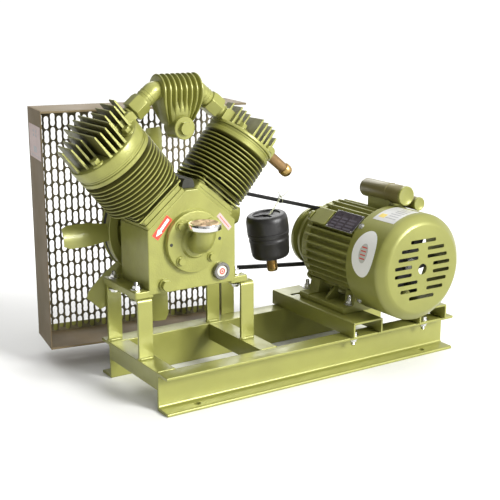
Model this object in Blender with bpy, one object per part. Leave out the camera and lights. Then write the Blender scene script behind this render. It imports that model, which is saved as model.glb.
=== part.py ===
"""Belt-driven two-cylinder air compressor set on a channel base, with its motor, V belt and guard.

Axes: +X runs along the base rails from the compressor to the motor, +Y runs from the oil filler
side to the flywheel side, along both shafts, and +Z is up.  Sizes are in metres.  Lengths are
first laid out from the left front corner of the base, and ORIGIN moves the finished set so that
its origin is the middle of its bounding box, on the floor.
"""

import math

import bmesh
import bpy
from mathutils import Matrix, Vector

# ---- driving dimensions -------------------------------------------------------------------
ORIGIN = Vector((0.2887, 0.1653, 0.0))  # middle of the set, measured from the base's corner
GAP = 0.0003                            # clearance between touching pieces

RAIL_LENGTH = 0.700
RAIL_HEIGHT = 0.075
RAIL_FLANGE = 0.040
RAIL_WEB = 0.005
RAIL_THICK = 0.006
REAR_WEB_Y = 0.203                      # front face of the rear rail's web
ANCHOR_X = (0.072, 0.628)
ANCHOR_RADIUS = 0.006

CROSS_X = (0.0, 0.228)
CROSS_WIDTH = 0.040
CROSS_DEPTH = 0.035
CROSS_THICK = 0.005

LEG_WIDTH = 0.030
LEG_THICK = 0.006
LEG_BEND = 0.009
FRONT_LEG_Y = 0.078
REAR_LEG_Y = 0.218
LEG_TOP_LENGTH = 0.040

MOTOR_RAIL_X = (0.422, 0.598)
MOTOR_RAIL_WIDTH = 0.075
MOTOR_RAIL_HEIGHT = 0.032
MOTOR_RAIL_Y = (-0.042, 0.251)
MOTOR_RAIL_THICK = 0.004

CRANK_X = 0.120
CRANK_Z = 0.294
CASE_HALF_WIDTH = 0.095
CASE_Y = (0.076, 0.192)
CASE_FLOOR = 0.200
CASE_WALL = 0.008
ROOF_DISTANCE = 0.084                   # crank axis to a roof face
FOOT_Z = (0.195, 0.209)
FOOT_REACH = 0.029
FOOT_REAR_Y = 0.218

BANK_ANGLE = math.radians(40.0)         # each cylinder from the vertical
BANK_Y = {"left": 0.124, "right": 0.138}
BORE_RADIUS = {"left": 0.034, "right": 0.029}
FIN_RADIUS = {"left": 0.076, "right": 0.071}
BARREL_RADIUS = 0.043
BARREL_TOP = 0.217
FIN_COUNT = 8
HEAD_BASE = {"left": 0.246, "right": 0.233}  # top of the head's rim, foot of its fins
HEAD_TOP = {"left": 0.294, "right": 0.272}
HEAD_FINS = 12
POCKET_X, POCKET_Y = 0.0240, 0.0310      # fins beyond X stop at Y, to clear the head bolts
PORT_REACH = 0.003                      # port boss beyond the head's outer fin
PORT_DISTANCE = {"left": 0.250, "right": 0.244}
NUT_START = {"left": 0.0025, "right": 0.0070}  # union nut's foot, from the port boss
NUT_LENGTH = 0.0305
STROKE = 0.050
ROD_LENGTH = 0.161
PISTON_HEIGHT = 0.042

PULLEY_Y = 0.246                        # plane of the belt
BELT_WIDTH = 0.013
BELT_FOOT_WIDTH = 0.0075
BELT_DEPTH = 0.008
FLYWHEEL_BELT_RADIUS = 0.104            # outside of the belt on the flywheel
MOTOR_BELT_RADIUS = 0.066
BLADE_COUNT = 8
BLADE_RADIUS = 0.200
BLADE_WIDTH = 0.046
BLADE_PITCH = math.radians(17.0)
BLADE_Y = 0.229

MOTOR_X = 0.548
MOTOR_Z = 0.215
MOTOR_FRAME_Y = (0.012, 0.178)
MOTOR_CORE_RADIUS = 0.088
MOTOR_RIB_RADIUS = 0.097
MOTOR_BORE = 0.083
SHAFT_RADIUS = 0.014
FAN_COVER_RADIUS = 0.110
FAN_COVER_Y = (-0.098, 0.010)

GUARD_CORNER = Vector((-0.080, 0.315, 0.042))
GUARD_TURN = math.radians(-9.0)
GUARD_LENGTH = 0.435
GUARD_DEPTH = 0.115
GUARD_HEIGHT = 0.486
SHEET = 0.002

ROUND = 24                              # sides of a large round piece


# ---- materials ----------------------------------------------------------------------------
def material(name, colour, roughness, metallic=0.0):
    mat = bpy.data.materials.new(name)
    mat.use_nodes = True
    shader = mat.node_tree.nodes["Principled BSDF"]
    shader.inputs["Base Color"].default_value = (*colour, 1.0)
    shader.inputs["Roughness"].default_value = roughness
    shader.inputs["Metallic"].default_value = metallic
    mat.diffuse_color = (*colour, 1.0)
    return mat


def make_materials():
    return {
        "olive_paint": material("olive_paint", (0.42, 0.44, 0.15), 0.35),
        "machined_steel": material("machined_steel", (0.55, 0.55, 0.53), 0.30, 1.0),
        "cast_iron": material("cast_iron", (0.16, 0.16, 0.16), 0.60, 0.8),
        "aluminium": material("aluminium", (0.66, 0.66, 0.65), 0.40, 1.0),
        "chrome": material("chrome", (0.75, 0.75, 0.72), 0.12, 1.0),
        "brass": material("brass", (0.55, 0.38, 0.12), 0.35, 1.0),
        "rubber": material("rubber", (0.02, 0.02, 0.02), 0.70),
        "black_plastic": material("black_plastic", (0.03, 0.03, 0.03), 0.45),
        "clear_glass": material("clear_glass", (0.70, 0.74, 0.70), 0.10),
        "copper_winding": material("copper_winding", (0.50, 0.22, 0.10), 0.45, 1.0),
    }


# ---- building blocks ----------------------------------------------------------------------
def finish(name, bm, mat, location=(0.0, 0.0, 0.0), rotation=None, flat=False):
    """Turn a closed bmesh into a named object at a place given from the base's corner."""
    bmesh.ops.recalc_face_normals(bm, faces=bm.faces[:])
    mesh = bpy.data.meshes.new(name)
    bm.to_mesh(mesh)
    bm.free()
    if not flat:
        mesh.shade_smooth()
        mesh.set_sharp_from_angle(angle=math.radians(35.0))
    obj = bpy.data.objects.new(name, mesh)
    if mat is not None:
        mesh.materials.append(mat)
    bpy.context.scene.collection.objects.link(obj)
    obj.matrix_world = Matrix.Translation(Vector(location) - ORIGIN) @ (
        rotation.to_4x4() if rotation else Matrix.Identity(4))
    return obj


def box(name, mat, x, y, z):
    """A plain block between two values along each axis."""
    bm = bmesh.new()
    corners = [bm.verts.new((a, b, c)) for c in z for b in y for a in x]
    for quad in ((0, 1, 3, 2), (4, 5, 7, 6), (0, 1, 5, 4), (2, 3, 7, 6), (0, 2, 6, 4), (1, 3, 7, 5)):
        bm.faces.new([corners[i] for i in quad])
    return finish(name, bm, mat, flat=True)


def stack_mesh(rings, closed=False):
    """Join rings of equal length; the first and last get a face, or meet when closed."""
    bm = bmesh.new()
    rows = [[bm.verts.new(p) for p in ring] for ring in rings]
    pairs = list(zip(rows, rows[1:]))
    if closed:
        pairs.append((rows[-1], rows[0]))
    else:
        bm.faces.new(rows[0])
        bm.faces.new(rows[-1])
    for low, high in pairs:
        for i, a in enumerate(low):
            j = (i + 1) % len(low)
            bm.faces.new((a, low[j], high[j], high[i]))
    return bm


def prism_mesh(outline, along, start, end):
    """An outline of two coordinates pushed along the third axis."""
    def point(a, b, h):
        return {"x": (h, a, b), "y": (a, h, b), "z": (a, b, h)}[along]
    return stack_mesh([[point(a, b, h) for a, b in outline] for h in (start, end)])


def prism(name, mat, outline, along, start, end):
    return finish(name, prism_mesh(outline, along, start, end), mat, flat=True)


def lathe_mesh(profile, sides, phase=0.0, hollow=None):
    """Turn a profile of (radius, height) about local Z; an axis point has radius 0."""
    ring_profile = min(r for r, _ in profile) > 0 if hollow is None else hollow
    bm = bmesh.new()
    rows = []
    for r, h in profile:
        if r == 0:
            rows.append([bm.verts.new((0.0, 0.0, h))])
            continue
        turns = [phase + 2.0 * math.pi * k / sides for k in range(sides)]
        rows.append([bm.verts.new((r * math.cos(a), r * math.sin(a), h)) for a in turns])
    pairs = list(zip(rows, rows[1:]))
    if ring_profile:
        pairs.append((rows[-1], rows[0]))
    for low, high in pairs:
        for i in range(sides):
            j = (i + 1) % sides
            corners = [low[i % len(low)], low[j % len(low)], high[j % len(high)], high[i % len(high)]]
            corners = list(dict.fromkeys(corners))
            if len(corners) > 2:
                bm.faces.new(corners)
    return bm


ALONG_Y = Matrix.Rotation(math.radians(90.0), 3, "X")   # local Z points to -Y, local Y points up


def lathe_y(name, mat, x, z, profile, sides=ROUND, phase=0.0):
    """A turned piece on an axis along Y; the profile is (radius, y)."""
    flipped = [(r, -y) for r, y in profile]
    return finish(name, lathe_mesh(flipped, sides, phase), mat, (x, 0.0, z), ALONG_Y)


def lathe_on(name, mat, origin, direction, profile, sides=ROUND, phase=0.0):
    """A turned piece on any axis; the profile is (radius, distance from the origin)."""
    turn = Vector(direction).to_track_quat("Z", "Y").to_matrix()
    return finish(name, lathe_mesh(profile, sides, phase), mat, origin, turn)


def ring_of(inner, outer, start, end):
    return [(inner, start), (outer, start), (outer, end), (inner, end)]


def rod_of(radius, start, end):
    return [(0, start), (radius, start), (radius, end), (0, end)]


def combine(target, tool, operation):
    """Cut with or add a helper object, which stays hidden in the scene."""
    modifier = target.modifiers.new(tool.name, "BOOLEAN")
    modifier.operation = operation
    modifier.object = tool
    modifier.solver = "EXACT"
    tool.hide_render = True
    tool.display_type = "WIRE"
    return target


def cut(target, *tools):
    for tool in tools:
        combine(target, tool, "DIFFERENCE")
    return target


def add(target, *tools):
    for tool in tools:
        combine(target, tool, "UNION")
    return target


def bank_axis(side):
    """Unit vectors of a cylinder: along its axis, and across it away from the other bank."""
    sign = -1.0 if side == "left" else 1.0
    along = Vector((sign * math.sin(BANK_ANGLE), 0.0, math.cos(BANK_ANGLE)))
    across = Vector((sign * math.cos(BANK_ANGLE), 0.0, -math.sin(BANK_ANGLE)))
    return along, across


def bank_origin(side):
    return Vector((CRANK_X, BANK_Y[side], CRANK_Z))


def bank_lathe(name, mat, side, profile, sides=ROUND):
    along, _ = bank_axis(side)
    return finish(name, lathe_mesh(profile, sides), mat, bank_origin(side), bank_turn(side))


def bank_turn(side):
    """Local Z along the cylinder, local Y along the shafts, local X across the cylinder."""
    sign = -1.0 if side == "left" else 1.0
    return Matrix.Rotation(sign * BANK_ANGLE, 3, "Y")


def bank_prism(name, mat, side, outline, y_half):
    """An outline of (local x, distance from the crank) as thick as twice y_half."""
    mesh = prism_mesh(outline, "y", -y_half, y_half)
    return finish(name, mesh, mat, bank_origin(side), bank_turn(side), flat=True)


# ---- base ---------------------------------------------------------------------------------
def channel(web_y, outward):
    """Section of a base rail: its flanges point the way `outward` does from the web."""
    back = web_y - outward * RAIL_WEB
    tip = web_y + outward * (RAIL_FLANGE - RAIL_WEB)
    top = RAIL_HEIGHT
    return [(back, 0.0), (tip, 0.0), (tip, RAIL_THICK), (web_y, RAIL_THICK),
            (web_y, top - RAIL_THICK), (tip, top - RAIL_THICK), (tip, top), (back, top)]


def make_rails(mats):
    for name, web_y, outward in (("front_rail", 0.0, -1.0),
                                 ("rear_rail", REAR_WEB_Y + RAIL_WEB, 1.0)):
        rail = prism(name, mats["olive_paint"], channel(web_y, outward), "x", 0.0, RAIL_LENGTH)
        for number, x in enumerate(ANCHOR_X):
            y = web_y + outward * 0.017
            hole = lathe_on(f"cut_{name}_anchor_{number}", None, (x, y, -0.005), (0, 0, 1),
                            rod_of(ANCHOR_RADIUS, 0.0, 0.015), 10)
            cut(rail, hole)


def make_cross_members(mats):
    for name, x in zip(("left_cross_member", "middle_cross_member"), CROSS_X):
        top, low = RAIL_HEIGHT, RAIL_HEIGHT - CROSS_DEPTH
        angle = [(x, low), (x + CROSS_THICK, low), (x + CROSS_THICK, top - CROSS_THICK),
                 (x + CROSS_WIDTH, top - CROSS_THICK), (x + CROSS_WIDTH, top), (x, top)]
        prism(name, mats["olive_paint"], angle, "y", RAIL_WEB + GAP, REAR_WEB_Y - GAP)


def bent_leg(face_y, inward):
    """Section of a leg strip that rises from the base and bends in under the crankcase foot."""
    low, top = RAIL_HEIGHT + GAP, FOOT_Z[0] - GAP
    outer = [(face_y, low)]
    for step in range(4):
        a = math.radians(30.0 * step)
        outer.append((face_y + inward * LEG_BEND * (1.0 - math.cos(a)),
                      top - LEG_BEND * (1.0 - math.sin(a))))
    end = face_y + inward * LEG_TOP_LENGTH
    inner_y = face_y + inward * LEG_THICK
    inner = [(end, top), (end, top - LEG_THICK), (inner_y + inward * 0.003, top - LEG_THICK),
             (inner_y, top - LEG_THICK - 0.003), (inner_y, low)]
    return outer + inner


def make_legs(mats):
    for name, cross_x, face_y, inward in (
            ("front_left_leg", CROSS_X[0], FRONT_LEG_Y, 1.0),
            ("front_right_leg", CROSS_X[1], FRONT_LEG_Y, 1.0),
            ("rear_left_leg", CROSS_X[0], REAR_LEG_Y, -1.0),
            ("rear_right_leg", CROSS_X[1], REAR_LEG_Y, -1.0)):
        x = cross_x + 0.002
        prism(name, mats["olive_paint"], bent_leg(face_y, inward), "x", x, x + LEG_WIDTH)


def make_motor_rails(mats):
    t = MOTOR_RAIL_THICK
    low, top = RAIL_HEIGHT + GAP, RAIL_HEIGHT + MOTOR_RAIL_HEIGHT
    for name, x in zip(("left_motor_rail", "right_motor_rail"), MOTOR_RAIL_X):
        end = x + MOTOR_RAIL_WIDTH
        section = [(x, low), (x + t, low), (x + t, top - t), (end - t, top - t),
                   (end - t, low), (end, low), (end, top), (x, top)]
        prism(name, mats["olive_paint"], section, "y", *MOTOR_RAIL_Y)


# ---- belt guard ---------------------------------------------------------------------------
def guard_plate(name, mat, along, depth, height):
    """A sheet of the guard, given by its extent along, into and up the guard."""
    turn = Matrix.Rotation(GUARD_TURN, 3, "Z")
    bm = bmesh.new()
    corners = [bm.verts.new((a, b, c)) for c in height for b in depth for a in along]
    for quad in ((0, 1, 3, 2), (4, 5, 7, 6), (0, 1, 5, 4), (2, 3, 7, 6), (0, 2, 6, 4), (1, 3, 7, 5)):
        bm.faces.new([corners[i] for i in quad])
    return finish(name, bm, mat, GUARD_CORNER, turn, flat=True)


def make_guard(mats):
    paint = mats["olive_paint"]
    inner_depth = GUARD_DEPTH - SHEET - GAP
    guard_plate("guard_mesh_panel", paint, (0.0, GUARD_LENGTH),
                (GUARD_DEPTH - SHEET, GUARD_DEPTH), (0.0, GUARD_HEIGHT))
    guard_plate("guard_left_side", paint, (0.0, SHEET), (0.0, inner_depth), (0.0, GUARD_HEIGHT))
    for name, low in (("guard_bottom_flange", 0.0), ("guard_top_flange", GUARD_HEIGHT - SHEET)):
        guard_plate(name, paint, (SHEET + GAP, GUARD_LENGTH), (0.0, inner_depth),
                    (low, low + SHEET))


def make_guard_bracket(mats):
    """An angle bracket from the back of the rear rail to the far panel of the guard."""
    start = REAR_WEB_Y + RAIL_FLANGE + GAP
    x = (0.284, 0.316)
    mid_x = 0.5 * (x[0] + x[1])
    panel_y = (GUARD_CORNER.y + (GUARD_DEPTH - SHEET) / math.cos(GUARD_TURN)
               + (mid_x - GUARD_CORNER.x) * math.tan(GUARD_TURN))
    end = panel_y - 0.5 * (x[1] - x[0]) * math.tan(-GUARD_TURN) - 0.0008
    thick, top = 0.005, 0.150
    section = [(start, 0.040), (start + thick, 0.040), (start + thick, top - thick),
               (end, top - thick), (end, top), (start, top)]
    prism("guard_bracket", mats["olive_paint"], section, "x", *x)


# ---- crankcase ----------------------------------------------------------------------------
def roof_height(x_from_crank, distance):
    """Height above the crank of a roof face that is `distance` from the crank axis."""
    return (distance - abs(x_from_crank) * math.sin(BANK_ANGLE)) / math.cos(BANK_ANGLE)


def case_outline(inset):
    half = CASE_HALF_WIDTH - inset
    distance = ROOF_DISTANCE - inset
    apex = 0.013
    floor = CASE_FLOOR + inset
    return [(CRANK_X - half, floor), (CRANK_X + half, floor),
            (CRANK_X + half, CRANK_Z + roof_height(half, distance)),
            (CRANK_X + apex, CRANK_Z + roof_height(apex, distance)),
            (CRANK_X - apex, CRANK_Z + roof_height(apex, distance)),
            (CRANK_X - half, CRANK_Z + roof_height(half, distance))]


def make_crankcase(mats):
    case = prism("crankcase", mats["olive_paint"], case_outline(0.0), "y", *CASE_Y)
    edge = CASE_HALF_WIDTH
    for side, sign in (("left", -1.0), ("right", 1.0)):
        near = CRANK_X + sign * (edge - 0.012)
        far = CRANK_X + sign * (edge + FOOT_REACH)
        add(case, box(f"add_foot_{side}", None, sorted((near, far)), (CASE_Y[0], FOOT_REAR_Y), FOOT_Z))
    pad_x = CRANK_X + edge
    add(case, box("add_side_pad", None, (pad_x - 0.004, pad_x + 0.006), (0.090, 0.140), (0.282, 0.322)))
    cavity = prism("cut_case_cavity", None, case_outline(CASE_WALL), "y",
                   CASE_Y[0] + CASE_WALL, CASE_Y[1] - CASE_WALL)
    front = lathe_y("cut_case_front", None, CRANK_X, CRANK_Z, rod_of(0.048, 0.060, 0.090))
    rear = lathe_y("cut_case_rear", None, CRANK_X, CRANK_Z, rod_of(0.045, 0.180, 0.210))
    cut(case, cavity, front, rear)
    for side in ("left", "right"):
        hole = bank_lathe(f"cut_case_bore_{side}", None, side,
                          rod_of(BORE_RADIUS[side] + 0.004, 0.060, 0.100))
        cut(case, hole)
    for number, (x, y) in enumerate(foot_bolt_places()):
        cut(case, lathe_on(f"cut_foot_hole_{number}", None, (x, y, FOOT_Z[0] - 0.005), (0, 0, 1),
                           rod_of(0.0055, 0.0, 0.030), 8))


def foot_bolt_places():
    reach = CASE_HALF_WIDTH + 0.5 * FOOT_REACH
    return [(CRANK_X + sign * reach, y) for sign in (-1.0, 1.0) for y in (0.100, 0.196)]


def make_case_fittings(mats):
    front = CASE_Y[0] - GAP
    lathe_y("front_cover", mats["olive_paint"], CRANK_X, CRANK_Z,
            [(0.014, 0.064), (0.0605, 0.064), (0.0605, front), (0.0475, front), (0.0475, 0.0955),
             (0.0323, 0.0955), (0.0323, 0.0795), (0.014, 0.0795)])
    lathe_y("front_bearing", mats["machined_steel"], CRANK_X, CRANK_Z,
            ring_of(0.0153, 0.0320, 0.0798, 0.0940))
    rear = CASE_Y[1] + GAP
    lathe_y("rear_bearing_housing", mats["olive_paint"], CRANK_X, CRANK_Z,
            [(0.0350, 0.1845), (0.0447, 0.1845), (0.0447, rear), (0.0560, rear), (0.0560, 0.2000),
             (0.0400, 0.2060), (0.0200, 0.2060), (0.0200, 0.2010), (0.0350, 0.2010)])
    lathe_y("rear_bearing", mats["machined_steel"], CRANK_X, CRANK_Z,
            ring_of(0.0173, 0.0347, 0.1850, 0.2007))
    lathe_y("drain_plug", mats["olive_paint"], 0.058, 0.2160,
            [(0, 0.062), (0.0100, 0.062), (0.0110, 0.064), (0.0110, 0.070), (0.0130, 0.070),
             (0.0130, front), (0, front)], 6)
    lathe_y("sight_glass", mats["clear_glass"], 0.1800, 0.2270,
            [(0, 0.0690), (0.0120, 0.0690), (0.0130, 0.0660), (0.0180, 0.0660), (0.0190, 0.0670),
             (0.0190, front), (0, front)], 16)
    apex = CRANK_Z + roof_height(0.013, ROOF_DISTANCE) + GAP
    box("breather_block", mats["cast_iron"], (0.108, 0.132), (0.090, 0.176), (apex, apex + 0.018))


def make_filler(mats):
    bend, axis_y = 0.026, 0.030
    stations = [(0.066, 0.0, 0.0)]
    for step in range(6):
        a = math.radians(18.0 * step)
        stations.append((axis_y + bend * (1.0 - math.sin(a)), bend * (1.0 - math.cos(a)), a))
    stations.append((axis_y, 0.0365, math.radians(90.0)))
    rings = []
    for radius, order in ((0.024, stations), (0.018, stations[::-1])):
        for y, z, a in order:
            ring = []
            for k in range(14):
                t = 2.0 * math.pi * k / 14
                lift = radius * math.sin(t)
                ring.append((CRANK_X + radius * math.cos(t), y + lift * math.sin(a),
                             CRANK_Z + z + lift * math.cos(a)))
            rings.append(ring)
    neck = finish("add_filler_neck", stack_mesh(rings, closed=True), None)
    bore = lathe_y("cut_filler_bore", None, CRANK_X, CRANK_Z, rod_of(0.0180, 0.058, 0.085), 14)
    add(cut(bpy.data.objects["front_cover"], bore), neck)
    lathe_on("filler_cap", mats["chrome"], (CRANK_X, axis_y, CRANK_Z), (0, 0, 1),
             [(0, 0.0370), (0.0246, 0.0370), (0.0246, 0.0250), (0.0330, 0.0250), (0.0340, 0.0265),
              (0.0340, 0.0425), (0.0320, 0.0440), (0, 0.0440)], 20)


# ---- cylinders ----------------------------------------------------------------------------
def barrel_profile(side):
    fin, core, bore = FIN_RADIUS[side], BARREL_RADIUS, BORE_RADIUS[side]
    low, high, thick = 0.109, BARREL_TOP - 0.018, 0.0035
    pitch = (high - low) / FIN_COUNT
    points = [(bore, ROOF_DISTANCE + GAP), (core, ROOF_DISTANCE + GAP), (core, low)]
    for number in range(FIN_COUNT):
        start = low + number * pitch
        reach = fin - (0.012 if number == 0 else 0.0)
        points += [(core, start), (reach, start), (reach, start + thick), (core, start + thick)]
    points += [(core, BARREL_TOP - 0.010), (fin, BARREL_TOP - 0.010), (fin, BARREL_TOP),
               (bore, BARREL_TOP)]
    del points[2]
    return points


def fin_centres(fin):
    """Evenly spaced places of the head's fins across the bank."""
    half = fin - 0.008
    return [-half + 2.0 * half * number / (HEAD_FINS - 1) for number in range(HEAD_FINS)]


def comb_outline(centres, low, base, top, thick):
    """A strip with straight fins standing on it, one over each centre."""
    points = [(centres[0] - thick / 2, low), (centres[-1] + thick / 2, low)]
    for number in reversed(range(len(centres))):
        x = centres[number]
        points += [(x + thick / 2, top), (x - thick / 2, top)]
        if number:
            points += [(x - thick / 2, base), (centres[number - 1] + thick / 2, base)]
    return points


def make_bank(mats, side):
    paint = mats["olive_paint"]
    fin = FIN_RADIUS[side]
    cylinder = bank_lathe(f"{side}_cylinder", paint, side, barrel_profile(side), 20)
    half = 0.050
    low = ROOF_DISTANCE + GAP
    foot = bank_prism(f"add_{side}_base_flange", None, side,
                      [(-half, low), (half, low), (half, low + 0.018), (-half, low + 0.018)], 0.046)
    bore = bank_lathe(f"cut_{side}_bore", None, side, rod_of(BORE_RADIUS[side], 0.070, 0.110), 20)
    add(cylinder, foot)
    cut(cylinder, bore)

    plate_top = BARREL_TOP + 0.008
    bank_lathe(f"{side}_valve_plate", mats["machined_steel"], side,
               rod_of(fin - 0.003, BARREL_TOP + GAP, plate_top), 20)
    head_low, head_base, head_top = plate_top + GAP, HEAD_BASE[side], HEAD_TOP[side]
    head = bank_lathe(f"{side}_head", paint, side, rod_of(fin, head_low, head_base), 24)
    centres = fin_centres(fin)
    groups = (("outer", [x for x in centres if x < -POCKET_X], POCKET_Y),
              ("middle", [x for x in centres if abs(x) <= POCKET_X], fin),
              ("far", [x for x in centres if x > POCKET_X], POCKET_Y))
    for label, members, depth in groups:
        outline = comb_outline(members, head_base - 0.004, head_base - 0.001, head_top, 0.004)
        comb = bank_prism(f"add_{side}_{label}_fins", None, side, outline, depth)
        envelope = bank_lathe(f"cut_{side}_{label}_round", None, side,
                              rod_of(fin - 0.005, head_base - 0.010, head_top + 0.010))
        add(head, combine(comb, envelope, "INTERSECT"))
    # the port boss faces the other bank; the right head also carries the outlet boss
    inner = 1.0 if side == "left" else -1.0
    port = PORT_DISTANCE[side]
    reach = fin + PORT_REACH
    boss = [(inner * 0.030, head_base - 0.003), (inner * reach, head_base - 0.003),
            (inner * reach, port + 0.014), (inner * 0.030, port + 0.014)]
    add(head, bank_prism(f"add_{side}_port_boss", None, side, boss, 0.018))
    if side == "right":
        outlet = [(0.030, head_base - 0.003), (reach, head_base - 0.003), (reach, port + 0.014),
                  (0.030, port + 0.014)]
        add(head, bank_prism("add_outlet_boss", None, side, outlet, 0.018))


def cooler_profile(side):
    """Start point, direction and length of the pipe run from a head to the intercooler."""
    along, across = bank_axis(side)
    start = (bank_origin(side) + along * PORT_DISTANCE[side]
             - across * (FIN_RADIUS[side] + PORT_REACH + GAP))
    direction = -across
    sign = 1.0 if side == "left" else -1.0
    wall_x = COOLER_X - sign * COOLER_HALF
    return start, direction, (wall_x - start.x) / direction.x


COOLER_X = 0.1195
COOLER_Y = 0.1310
COOLER_HALF = 0.0420
COOLER_FINS = 8
COOLER_TOP_Z = 0.5720
COOLER_BOSS_Z = 0.5050


def drop_outline(top_radius, low_radius):
    """A rounded drop in the plane of the shafts: wide at the top, narrow at the boss."""
    points = []
    for step in range(9):
        a = math.radians(22.5 * step)
        points.append((COOLER_Y + top_radius * math.cos(a), COOLER_TOP_Z + top_radius * math.sin(a)))
    for step in range(5):
        a = math.radians(180.0 + 45.0 * step)
        points.append((COOLER_Y + low_radius * math.cos(a), COOLER_BOSS_Z + low_radius * math.sin(a)))
    return points


def make_intercooler(mats):
    paint = mats["olive_paint"]
    left, right = COOLER_X - COOLER_HALF, COOLER_X + COOLER_HALF
    thick = 0.004
    pitch = (2.0 * COOLER_HALF - thick) / (COOLER_FINS - 1)
    big, small = drop_outline(0.034, 0.019), drop_outline(0.025, 0.018)
    rings = []
    for number in range(COOLER_FINS):
        x = left + number * pitch
        for outline, place in ((big, x), (big, x + thick)):
            rings.append([(place, y, z) for y, z in outline])
        if number < COOLER_FINS - 1:
            for place in (x + thick, x + pitch):
                rings.append([(place, y, z) for y, z in small])
    cooler = finish("intercooler", stack_mesh(rings), paint, flat=True)
    boss = lathe_y("add_cooler_boss", None, COOLER_X, COOLER_BOSS_Z,
                   rod_of(0.0205, 0.104, COOLER_Y + 0.010), 16)
    add(cooler, boss)
    lathe_y("intercooler_plug", paint, COOLER_X, COOLER_BOSS_Z,
            [(0, 0.090), (0.0125, 0.090), (0.0130, 0.099), (0.0215, 0.099), (0.0215, 0.1037),
             (0, 0.1037)], 12)
    for side in ("left", "right"):
        start, direction, length = cooler_profile(side)
        tilt = 0.0175 / abs(math.tan(math.asin(abs(direction.x))))
        end = length - tilt - 0.001
        foot = NUT_START[side]
        nipple = lathe_on(f"add_{side}_port_nipple", None, start, direction,
                          rod_of(0.0130, -0.0060, foot - GAP), 14)
        add(bpy.data.objects[f"{side}_head"], nipple)
        lathe_on(f"{side}_union_nut", paint, start, direction,
                 ring_of(0.008, 0.0220, foot, foot + NUT_LENGTH), 6)
        lathe_on(f"{side}_cooler_pipe", paint, start, direction,
                 ring_of(0.010, 0.0175, foot + NUT_LENGTH + GAP, end), 16)


def make_outlet(mats):
    along, across = bank_axis("right")
    start = (bank_origin("right") + along * PORT_DISTANCE["right"]
             + across * (FIN_RADIUS["right"] + PORT_REACH + GAP))
    lathe_on("outlet_pipe", mats["brass"], start, across,
             [(0, 0.0), (0.0105, 0.0), (0.0105, 0.0480), (0.0130, 0.0480), (0.0130, 0.0600),
              (0.0100, 0.0660), (0, 0.0660)], 14)


# ---- running gear of the compressor -------------------------------------------------------
PIN_RADIUS = 0.0140


def rest_pin():
    """Distance of a wrist pin from the crank axis with the crank pin straight down."""
    throw, swing = 0.5 * STROKE, math.pi - BANK_ANGLE
    return throw * math.cos(swing) + math.sqrt(ROD_LENGTH ** 2 - (throw * math.sin(swing)) ** 2)


def crank_offset():
    """The crank pin points away from both banks at the modelled position: straight down."""
    return Vector((0.0, 0.0, -0.5 * STROKE))


def make_crankshaft(mats):
    steel = mats["machined_steel"]
    shaft = lathe_y("crankshaft", steel, CRANK_X, CRANK_Z,
                    [(0, 0.0790), (0.0150, 0.0790), (0.0150, 0.0960), (0.0200, 0.0960),
                     (0.0200, 0.1080), (0, 0.1080)], 16)
    pin = crank_offset()
    crank_pin = lathe_y("add_crank_pin", None, CRANK_X + pin.x, CRANK_Z + pin.z,
                        rod_of(PIN_RADIUS, 0.1050, 0.1570), 16)
    rear = lathe_y("add_rear_journal", None, CRANK_X, CRANK_Z,
                   [(0, 0.1560), (0.0200, 0.1560), (0.0200, 0.1750), (0.0170, 0.1750),
                    (0.0170, 0.2640), (0, 0.2640)], 16)
    webs = []
    for number, (start, end) in enumerate(((0.1000, 0.1090), (0.1530, 0.1620))):
        outline = []
        for a in range(-150, -29, 24):
            t = math.radians(a)
            outline.append((CRANK_X + pin.x + 0.019 * math.cos(t), CRANK_Z + pin.z + 0.019 * math.sin(t)))
        for a in range(30, 151, 24):
            t = math.radians(a)
            outline.append((CRANK_X + 0.044 * math.cos(t), CRANK_Z + 0.044 * math.sin(t)))
        webs.append(prism(f"add_crank_web_{number}", None, outline, "y", start, end))
    add(shaft, crank_pin, rear, *webs)


def make_rods_and_pistons(mats):
    pin, wrist = crank_offset(), rest_pin()
    for side, start, end in (("left", 0.1160, 0.1320), ("right", 0.1330, 0.1490)):
        lathe_y(f"{side}_rod_big_end", mats["aluminium"], CRANK_X + pin.x, CRANK_Z + pin.z,
                ring_of(PIN_RADIUS + 0.0004, 0.0205, start, end), 16)
        wall, under, crown = BORE_RADIUS[side] - 0.0060, wrist + 0.008, wrist - 0.012 + PISTON_HEIGHT
        skirt = BORE_RADIUS[side] - 0.0012
        bank_lathe(f"{side}_piston", mats["aluminium"], side,
                   [(0, under), (wall, under), (wall, wrist - 0.012), (skirt, wrist - 0.012),
                    (skirt, crown), (0, crown)], 20)
        bank_prism(f"{side}_rod_shank", mats["aluminium"], side,
                   [(-0.0070, 0.0540), (0.0070, 0.0540), (0.0050, wrist - 0.012),
                    (0.0090, wrist + 0.0050), (-0.0090, wrist + 0.0050), (-0.0050, wrist - 0.012)],
                   0.0060)


def belt_groove(outside, belt_radius, edge_y, y):
    """Profile points of one V groove, front lip to rear lip, with running clearance."""
    clear = 0.0012
    half_top = 0.5 * BELT_WIDTH + clear + 0.5 * (outside - belt_radius)
    half_low = 0.5 * BELT_FOOT_WIDTH + clear - 0.0006
    low = belt_radius - BELT_DEPTH - 0.0035
    return [(outside, y[0]), (outside, edge_y - half_top), (low, edge_y - half_low),
            (low, edge_y + half_low), (outside, edge_y + half_top), (outside, y[1])]


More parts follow.
